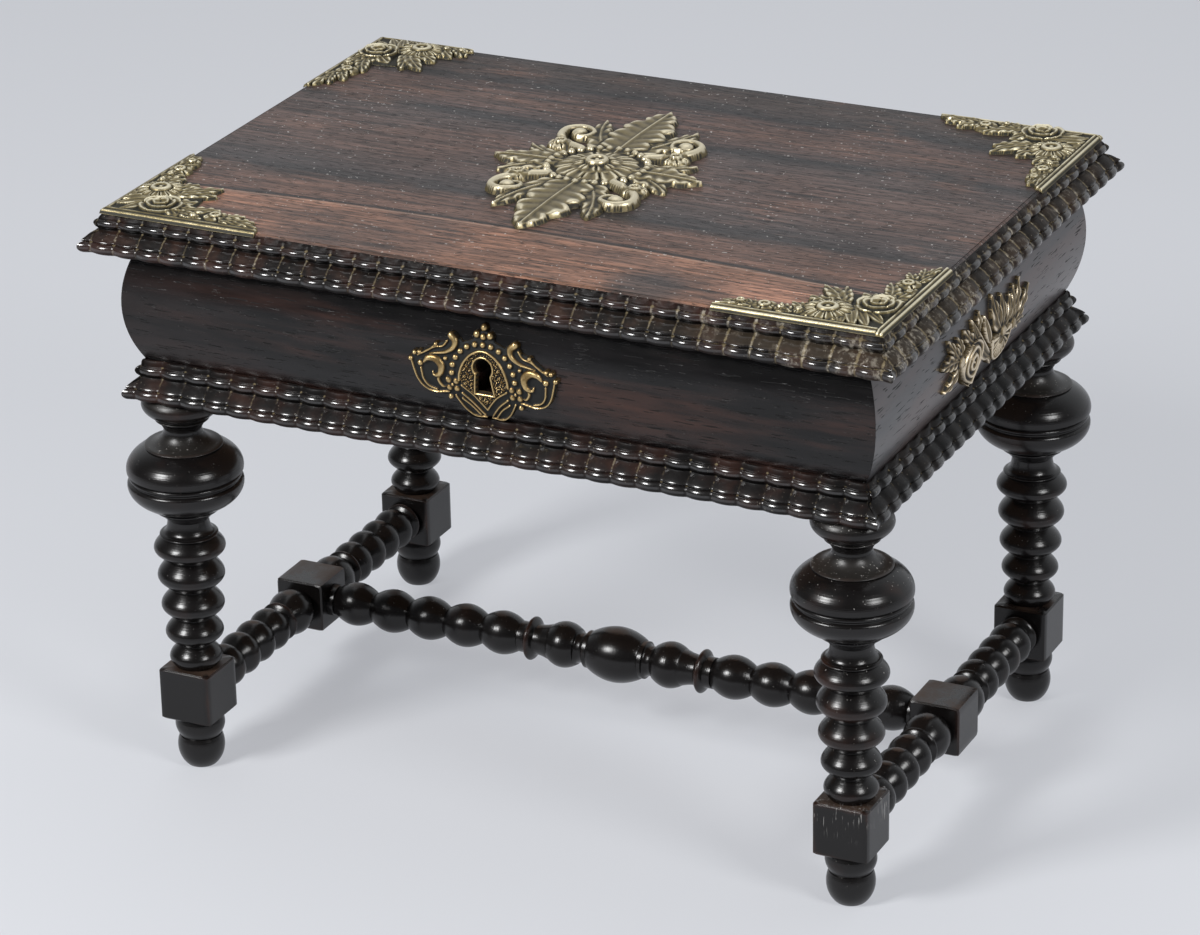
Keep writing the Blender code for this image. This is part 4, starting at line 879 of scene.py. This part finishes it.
def escutcheon_height(a, b):
    """Escutcheon's relief; both halves are alike, so the motifs are set out on the right half only."""
    a = np.abs(a)
    outline = ((0, 211.0), (1.6, 210.0), (3.6, 208.6), (4.4, 206.8), (8.5, 205.2), (10.4, 207.0),
               (12.0, 208.4), (14.2, 207.4), (14.8, 204.6), (20.0, 203.0), (25.0, 199.8), (28.6, 199.0),
               (30.0, 196.4), (28.9, 191.0), (26.4, 186.2), (21.6, 183.6), (15.6, 183.4), (12.2, 182.6),
               (9.2, 177.8), (5.6, 175.9), (2.4, 175.6), (0, 176.4))
    rise = np.where(within(a, b, outline), 0.25, 0)
    eye = np.hypot(a, b - KEYHOLE_MIDDLE) - KEYHOLE_EYE
    foot_half = 2.2 + 0.13 * (KEYHOLE_MIDDLE - b)
    foot = highest(a - foot_half, KEYHOLE_FOOT - b, b - KEYHOLE_MIDDLE)
    hole = np.minimum(eye, foot)
    arch = ((10.1, 190.6), (9.6, 193.8), (8.0, 197.6), (5.3, 200.9), (2.2, 202.7), (0, 203.1))
    stipple = np.sin(4.6 * a + 1.5 * np.sin(2.3 * b)) * np.sin(4.4 * b + 1.7 * np.sin(2.0 * a))
    ground = within(a, b, arch + ((0, 181.5), (6.5, 187.6)))
    rise = np.where(ground & (hole > 1.1), 0.3 + 1.0 * np.sqrt(np.clip(stipple, 0, 1)), rise)
    beads = ((0, 205.5), (3.3, 205.2), (6.5, 204.0), (9.1, 202.0), (11.1, 199.4), (12.4, 196.4),
             (12.9, 193.2))
    balls = (((0, 211.7), 1.5), ((2.7, 209.0), 1.5), ((0, 208.4), 1.4), ((27.8, 198.8), 1.1),
             ((25.9, 199.2), 1.0), ((29.6, 196.3), 1.1), ((25.6, 195.1), 1.3), ((19.1, 203.2), 0.9),
             ((14.4, 183.1), 1.2), ((15.2, 198.4), 0.9), ((14.8, 190.6), 0.8))
    berries = (((11.4, 186.9), 1.45), ((14.4, 186.9), 1.45), ((11.4, 189.9), 1.45), ((14.4, 189.9), 1.45),
               ((12.9, 188.4), 0.9))
    lines = (((9.2, 188.6), (5.2, 185.9), (2.3, 182.7), (0, 179.6)),
             ((9.3, 185.4), (5.3, 181.9), (1.6, 177.2)),
             ((12.2, 183.9), (10.6, 181.0), (8.6, 178.2), (5.6, 176.1), (1.2, 176.3)),
             ((9.6, 183.2), (6.2, 180.5), (3.4, 177.0)),
             ((23.9, 199.6), (19.6, 202.0), (16.4, 202.8), (14.5, 205.0)),
             ((29.4, 196.4), (28.5, 192.6), (27.2, 188.6), (24.8, 185.6), (20.8, 184.2), (14.8, 185.2)),
             ((25.5, 193.2), (24.9, 189.0), (23.0, 186.4), (19.8, 185.2)),
             ((26.6, 198.0), (22.0, 200.6), (19.3, 203.0)))
    horn = ((13.0, 207.2), (11.3, 205.4), (12.0, 202.8), (15.6, 200.6), (21.5, 199.4))
    curl = ((24.0, 195.8), (22.2, 197.6), (19.2, 197.7), (17.0, 195.4), (17.6, 192.2), (19.9, 191.2),
            (20.6, 192.4))
    tail = ((17.8, 192.0), (18.6, 189.6), (17.2, 187.2), (15.8, 187.0))
    scrolls = ((horn, (1.5, 1.5, 1.1, 0.7, 0.4), 2.0), (curl, (0.6, 1.3, 1.8, 1.7, 1.2, 0.7, 0.4), 2.1),
               (tail, (1.0, 0.7, 0.6, 0.3), 1.4))
    rise = highest(rise, ridge(a, b, arch, 0.6, 1.3), half_round(hole - 0.55, 0.5, 1.3) * (hole > 0),
                   *[dome(a, b, centre, 1.25, 1.7) for centre in beads],
                   *[dome(a, b, centre, radius, 1.7) for centre, radius in balls],
                   *[dome(a, b, centre, radius, 1.4) for centre, radius in berries],
                   *[ridge(a, b, line, 0.45, 1.2) for line in lines],
                   *[ridge(a, b, line, half, height) for line, half, height in scrolls])
    return np.where(hole > 0, rise, 0)


escutcheon_brass = cast_brass_finish("brass_escutcheon", (0.010, 0.011, 0.0105), (0.165, 0.10, 0.034),
                                     (0.60, 0.44, 0.21), 0.95)
a, b = grid((-31, 174.6), (31, 213.6), 0.26)
escutcheon = cast("cast_escutcheon", a, b, escutcheon_height(a, b), wall_seat("front"))
escutcheon.data.materials.append(escutcheon_brass)
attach(escutcheon, "case")
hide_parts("escutcheon")


# Leaf spray of cast brass on each end of the case, bent to the bulge: two leaf tufts, a veined shell,
# crossing leaves, a ribbed half disc, a tulip and an end tuft.
def spray_height(a, b):
    """Side mount's relief, from the front end to the back: leaves, a shell of nested ridges, a disc with
    ribs."""
    leaves = (
        ((-29.5, 194), (-42.5, 186.6), 5.0, 1.2, 0, 3), ((-30, 195), (-47.2, 197.6), 6.5, -1.0, 4, 4),
        ((-30, 195.5), (-39.5, 206), 5.5, 0.8, 3, 3), ((-28.6, 195.5), (-31.5, 204.6), 5.0, -0.6, 0, 3),
        ((3.4, 184.8), (-17.0, 206.2), 6.4, 3.4, 0, 0), ((-11, 200), (-9.2, 207.0), 4.4, 0.4, 0, 2),
        ((-13, 196), (-24.6, 204.8), 6.8, 1.5, 3, 4), ((1.4, 191), (-5.0, 203.6), 4.6, 1.4, 0, 0),
        ((13.2, 191.6), (4.4, 208.4), 8.6, 2.6, 0, 3), ((12.8, 192), (12.6, 206.2), 6.4, -0.4, 0, 2),
        ((14.4, 191.4), (20.6, 203.4), 5.4, -2.0, 0, 2), ((22.6, 190), (25.2, 205.4), 5.0, 0.6, 0, 3),
        ((24.6, 190.5), (31.6, 206.0), 5.2, 0.4, 0, 3), ((26.5, 190), (40.4, 200.6), 5.6, -0.6, 0, 3),
        ((24.2, 189), (36.8, 188.4), 7.0, 1.2, 3, 3), ((2.0, 185), (8.0, 180.2), 3.4, 0.4, 0, 0),
        ((9.0, 187), (21.2, 181.2), 3.6, 0.6, 0, 0))
    rise = highest(*[leaf(a, b, root, tip, width, bend, (0.55, 0.75), 2.2, lobes, veins)
                     for root, tip, width, bend, lobes, veins in leaves])
    apex = np.array((-16.2, 180.6))
    along = (b - apex[1]) * 0.985 + (a - apex[0]) * -0.17
    across = (a - apex[0]) * 0.985 + (b - apex[1]) * 0.17
    s = np.clip(along / 17.6, 1e-3, 1 - 1e-3)
    half = 9.6 * s ** 0.75 * (1 - s) ** 0.32 / 0.52
    t = np.clip(np.abs(across) / half, 0, 1)
    nested = np.cos(2 * np.pi * 3.0 * np.hypot(t, (s - 0.58) / 0.5) + 0.8)
    shell = np.where((along > 0) & (along < 17.6) & (t < 1), 1.5 + 0.6 * nested + 0.8 * (1 - t), 0)
    rise = laid_over(rise, shell, 0)
    du, dv = a - 11.6, b - 190.6
    reach = np.hypot(du, dv) / 9.4
    ribs = np.cos(np.arctan2(dv, du) * 22)
    dish = 1.6 + 0.45 * ribs * (reach > 0.35) - 0.9 * (reach - 0.6) ** 2
    disc = np.where((reach < 1) & (dv < 1.2), dish, 0)
    disc = np.maximum(disc, half_round((reach - 0.96) * 9.4, 0.9, 2.0) * (dv < 1.2) * (reach < 1.1))
    rise = laid_over(rise, disc, 0)
    knobs = (((12.6, 191.6), 2.6, 2.6), ((23.6, 190.4), 2.8, 2.4), ((-29.6, 194.6), 2.6, 2.4))
    return highest(rise, *[dome(a, b, *knob) for knob in knobs])


spray_brass = cast_brass_finish("brass_spray", (0.014, 0.012, 0.010), (0.175, 0.128, 0.062),
                                (0.72, 0.62, 0.47))
a, b = grid((-49, 179), (42, 209.5), 0.28)
spray = spray_height(a, b)
for side, run in (("right", a), ("left", -a)):
    laid = (run, b, spray) if side == "right" else (run[::-1], b[::-1], spray[::-1])
    piece = cast("cast_spray_" + side, *laid, wall_seat(side))
    piece.data.materials.append(spray_brass)
    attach(piece, "case")
    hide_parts("side_mount_" + side)

# Corner mounts of cast brass, four of one pattern pinned to the lid's corners: a double rail on both outer
# edges, a daisy, an open rose, a fan of leaves towards the corner and a leafy arm each way. One has lost
# part of an arm.
CORNER = (156.4, 109.4)
OVER = 1.7
INWARD = 1.7
ARM = 67.0
SHORT_ARM = 42.0
RAIL = 2.8


def rose(a, b, centre, radius, height, turn=0.0):
    """Open rose: three rings of cupped petals, each ring smaller, higher and turned from the last."""
    du, dv = a - centre[0], b - centre[1]
    reach = np.hypot(du, dv) / radius
    angle = np.arctan2(dv, du) + turn
    rise = np.zeros(a.shape)
    for size, count, low, high, shift in ((1.0, 5, 0.2, 0.75, 0.0), (0.68, 4, 0.5, 1.0, 0.6),
                                          (0.38, 3, 0.75, 1.15, 0.2)):
        phase = ((angle + shift) * count / (2 * np.pi)) % 1 * 2 - 1
        rim = size * (1 - 0.16 * np.abs(phase) ** 3)
        inside = reach < rim
        cup = low + (high - low) * np.clip(reach / rim, 0, 1) ** 2.2 - 0.3 * np.abs(phase) ** 6
        rise = np.where(inside, height * cup, rise)
    return rise


def corner_height(p, q):
    """Corner mount's relief from the corner: p along one edge, q along the other."""
    p, q = p + OVER, q + OVER
    edges = ((q, p), (p, q))
    p, q = p + INWARD, q + INWARD
    outline = ((0, 0), (62, 0), (60, 5), (55, 8), (47, 9), (41, 10.5), (36, 15), (35, 24), (31, 31),
               (22, 33), (15, 34), (13.5, 44), (11, 55), (7, 63), (0, 65))
    mottle = 0.12 + 0.08 * np.sin(1.9 * p + 1.1 * np.sin(1.3 * q)) * np.sin(1.7 * q + 0.9 * np.sin(1.1 * p))
    rise = np.where(within(p, q, outline), mottle, 0)
    leaves = (
        ((21, 19), (18.2, 2.4), 4.2, 0.8, 0, 0, 1.7), ((20.5, 19.5), (13.6, 2.8), 4.4, 0.3, 0, 0, 1.9),
        ((20, 20), (8.8, 4.0), 4.4, -0.3, 0, 0, 1.7), ((19, 20), (4.6, 8.6), 4.2, -0.8, 0, 0, 1.5),
        ((24.5, 19), (37.4, 34.6), 6.2, 1.2, 0, 4, 1.9), ((23, 20), (29.4, 36.2), 5.6, -0.8, 0, 4, 1.8),
        ((29, 17), (38.2, 23.6), 6.4, 0.6, 3, 3, 1.8), ((31, 13), (39.0, 14.6), 5.4, -0.6, 0, 3, 1.6),
        ((34, 8), (41.6, 15.6), 4.8, 0.6, 0, 3, 1.7), ((38.5, 6), (45.0, 13.2), 4.2, -0.4, 0, 3, 1.6),
        ((44, 5.5), (40.5, 6.0), 3.0, 0.0, 0, 0, 1.3), ((52.5, 6), (57.5, 12.0), 3.8, 0.4, 0, 2, 1.5),
        ((53, 5.4), (67.2, 4.2), 4.6, 0.8, 3, 3, 1.7), ((60.5, 7), (65.6, 8.6), 2.6, 0.0, 0, 0, 1.2),
        ((25, 6.5), (19.6, 4.2), 2.8, 0.4, 0, 0, 1.3), ((29, 6.0), (34.5, 5.6), 3.0, 0.2, 0, 2, 1.3),
        ((11, 31), (16.8, 45.4), 5.2, 1.0, 0, 4, 1.8), ((8.6, 32), (5.8, 43.0), 5.2, 0.5, 0, 3, 1.8),
        ((9.5, 49), (14.6, 57.0), 4.2, 0.5, 0, 3, 1.7), ((7.4, 50), (5.6, 58.0), 3.8, 0.2, 0, 2, 1.5),
        ((8.2, 53), (10.8, 63.2), 3.6, 0.6, 0, 3, 1.6), ((6.6, 56), (5.6, 67.0), 3.6, -0.3, 2, 2, 1.6),
        ((12, 24), (12.6, 36.0), 7.2, 0.0, 0, 4, 2.0), ((12.4, 23), (21.6, 32.6), 6.4, 0.8, 0, 3, 1.9),
        ((11.6, 23), (5.2, 33.0), 6.0, -0.6, 0, 3, 1.9))
    rise = highest(rise, *[leaf(p, q, root, tip, width * 1.2, bend, (0.55, 0.7), height * 1.35, lobes,
                                veins) for root, tip, width, bend, lobes, veins, height in leaves])
    rise = laid_over(rise, rose(p, q, (11.8, 22.4), 8.4, 3.2, 0.4), 0.6)
    rise = laid_over(rise, daisy(p, q, (27.2, 13.2), 9.6, 14, 2.5, 0.30), 0.5)
    for centre, radius, petals, turn in (((49.4, 8.4), 5.0, 5, 0.3), ((58.6, 8.4), 3.4, 5, 0.0),
                                         ((10.4, 46.6), 5.0, 4, 0.7), ((6.8, 39.0), 2.6, 5, 0.2),
                                         ((43.0, 8.0), 2.8, 5, 0.5), ((36.2, 8.6), 2.6, 5, 0.1)):
        rise = laid_over(rise, daisy(p, q, centre, radius, petals, 1.8, 0.34, turn), rise * 0.8)
    for edge, length in edges:
        rail = np.maximum(half_round(edge - 0.65, 0.65, 0.75), half_round(edge - 2.1, 0.7, 0.85))
        beside = (edge >= 0) & (edge < RAIL) & (length >= 0) & (length < ARM - 1)
        rise = np.where(beside, np.maximum(rail, 0.1), rise)
    return np.where((p >= INWARD) & (q >= INWARD), rise, 0)


def lid_seat(origin, first_way, second_way):
    """Lays a mount on the lid's top from a point, along two directions at right angles, and over the
    bevelled edge."""
    def place(first, second, rise):
        x = origin[0] + first * first_way[0] + second * second_way[0]
        y = origin[1] + first * first_way[1] + second * second_way[1]
        over = np.clip(np.maximum(np.abs(x) - CORNER[0], np.abs(y) - CORNER[1]), 0, None)
        return np.stack((x, y, LID_TOP - over * 0.5 + rise), axis=-1)
    return place


corner_brass = cast_brass_finish("brass_corner", (0.020, 0.019, 0.012), (0.185, 0.146, 0.064),
                                 (0.72, 0.66, 0.48))
q, p = grid((-OVER, -OVER), (ARM + 1, ARM + 1), 0.3)
corner_relief = corner_height(p, q)
snapped = np.where(p < SHORT_ARM + 1.2 * np.sin(q * 1.1), corner_relief, 0)
for name, sx, sy, along_p, along_q in (("front_left", -1, -1, (0, 1), (1, 0)),
                                       ("front_right", 1, -1, (-1, 0), (0, 1)),
                                       ("back_right", 1, 1, (0, -1), (-1, 0)),
                                       ("back_left", -1, 1, (1, 0), (0, -1))):
    relief = snapped if name == "back_left" else corner_relief
    seat = lid_seat((sx * CORNER[0], sy * CORNER[1]), along_q, along_p)
    rubbed = 0.5 if sx > 0 else 0.2
    piece = cast("cast_corner_" + name, q, p, relief, seat, 0.45, rubbed * (np.minimum(p, q) < RAIL - OVER))
    piece.data.materials.append(corner_brass)
    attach(piece, "lid")
    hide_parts("corner_mount_" + name)


# Centre mount of cast brass pinned to the middle of the lid: a rosette in a ring of beads, long acanthus
# leaves to front and back, shorter ones to the sides, and a scroll with a small flower in each quarter.
def centre_height(a, b):
    """Centre mount's relief; the four quarters are alike."""
    a, b = np.abs(a), np.abs(b)
    rise = np.where(np.hypot(a, b) < 22, 0.4, 0)
    leaves = (
        ((0, 12), (19.5, 50.5), 13.0, -3.5, 4, 7, 2.6), ((10, 0), (35.5, 15.5), 10.5, -2.0, 3, 5, 2.4),
        ((0, 10), (0, 68), 25.0, 0.0, 5, 10, 3.6), ((9, 0), (43.6, 0), 17.0, 0.0, 4, 7, 3.2))
    for root, tip, width, bend, lobes, veins, height in leaves:
        face = leaf(a, b, root, tip, width, bend, (0.7, 0.85), height, lobes, veins, 0.6)
        rise = np.where(face > 0.12, np.maximum(face, rise * 0.7), np.maximum(face, rise))
    scroll = ((14, 15), (22, 19), (28, 26), (28.5, 33.5), (23, 37), (17.5, 34), (18, 29), (22, 28))
    rise = highest(rise, ridge(a, b, scroll, (2.2, 2.1, 2.0, 1.8, 1.6, 1.3, 1.0, 0.8), 3.0),
                   dome(a, b, (22.6, 31.6), 3.6, 3.2))
    rise = laid_over(rise, daisy(a, b, (24.5, 18.5), 5.2, 6, 2.8, 0.36), rise * 0.8)
    beads = [(19.4 * np.cos(angle), 19.4 * np.sin(angle)) for angle in np.radians(np.arange(0, 91, 11.25))]
    rise = highest(rise, *[dome(a, b, bead, 1.75, 2.9) for bead in beads])
    rise = laid_over(rise, daisy(a, b, (0, 0), 16.8, 12, 3.2, 0.2), 1.0)
    return laid_over(rise, daisy(a, b, (0, 0), 10.4, 8, 4.4, 0.32, 0.39), 2.4)


centre_brass = cast_brass_finish("brass_centre", (0.030, 0.027, 0.019), (0.195, 0.156, 0.078),
                                 (0.67, 0.60, 0.43))
a, b = grid((-44.5, -69), (44.5, 69), 0.5)
centre = cast("cast_centre", a, b, centre_height(a, b), lid_seat((-5.0, 0.0), (1, 0), (0, 1)))
centre.data.materials.append(centre_brass)
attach(centre, "lid")
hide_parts("centre_mount")


# Photographer's table: a pale paper floor, soft lamps on the left, on the right and above, a room that is
# dim in front and bright behind, and the camera at the photograph's viewing angle.
def floor_finish():
    """Matt pale grey paper with a breath of blue, lit through from below as on a light table."""
    material, shade = new_finish("paper")
    cloud = shade.noise(shade.place(), 3, 3)
    colour = cloud.blend((0.275, 0.28, 0.29), (0.285, 0.29, 0.30))
    shade.surface(Base_Color=colour, Roughness=0.9, Specular_IOR_Level=0.1,
                  Emission_Color=(0.905, 0.93, 1.0, 1), Emission_Strength=0.40)
    return material


span = 4000.0
floor = lay_mesh("floor", ((-span, -span, 0), (span, -span, 0), (span, span, 0), (-span, span, 0)),
                 [[0, 1, 2, 3]])
floor.data.materials.append(floor_finish())


def soft_lamp(name, place, aim, size, energy):
    """Square lamp that looks from its place at a point."""
    data = bpy.data.lights.new(name, "AREA")
    data.size = size
    data.energy = energy
    lamp = bpy.data.objects.new(name, data)
    bpy.context.scene.collection.objects.link(lamp)
    lamp.location = place
    back = np.array(place) - np.array(aim)
    lamp.rotation_euler = (np.arctan2(np.hypot(back[0], back[1]), back[2]), 0,
                           np.arctan2(back[0], -back[1]))


soft_lamp("left_lamp", (-0.66, -1.20, 1.08), (0, 0, 0.12), 0.46, 26)
soft_lamp("right_lamp", (1.30, -0.52, 1.00), (0, 0, 0.12), 0.48, 13)
soft_lamp("top_lamp", (-0.2, 0.5, 2.2), (0, 0, 0.2), 1.6, 8)


def room_light():
    """Dim room in front, a bright pale backdrop behind: radiance rises with the direction's y and falls a
    little with its z."""
    room = bpy.data.worlds.new("room")
    room.use_nodes = True
    room.node_tree.nodes.clear()
    shade = Shade(room.node_tree)
    way = shade.node("ShaderNodeTexCoord", None, None, "Generated")
    back = shade.node("ShaderNodeSeparateXYZ", None, {0: way}, "Y")
    up = shade.node("ShaderNodeSeparateXYZ", None, {0: way}, "Z")
    bright = (back - up * 0.1).step(-0.25, 0.7) * 0.66 + 0.10
    glow = shade.node("ShaderNodeBackground", None, {"Color": (0.93, 0.96, 1.0, 1), "Strength": bright})
    shade.node("ShaderNodeOutputWorld", None, {"Surface": glow})
    return room


bpy.context.scene.world = room_light()
bpy.context.scene.view_settings.view_transform = "Standard"

CAMERA_PLACE = (0.71044, -1.46203, 0.82556)
CAMERA_TILT = 66.35066
CAMERA_ROLL = 1.04372
CAMERA_TURN = 25.66037
camera_data = bpy.data.cameras.new("camera")
camera_data.sensor_fit = "HORIZONTAL"
camera_data.sensor_width = 36
camera_data.lens = 136.15
camera_data.clip_end = 30
camera = bpy.data.objects.new("camera", camera_data)
bpy.context.scene.collection.objects.link(camera)
camera.location = CAMERA_PLACE
camera.rotation_euler = np.radians((CAMERA_TILT, CAMERA_ROLL, CAMERA_TURN))
bpy.context.scene.camera = camera
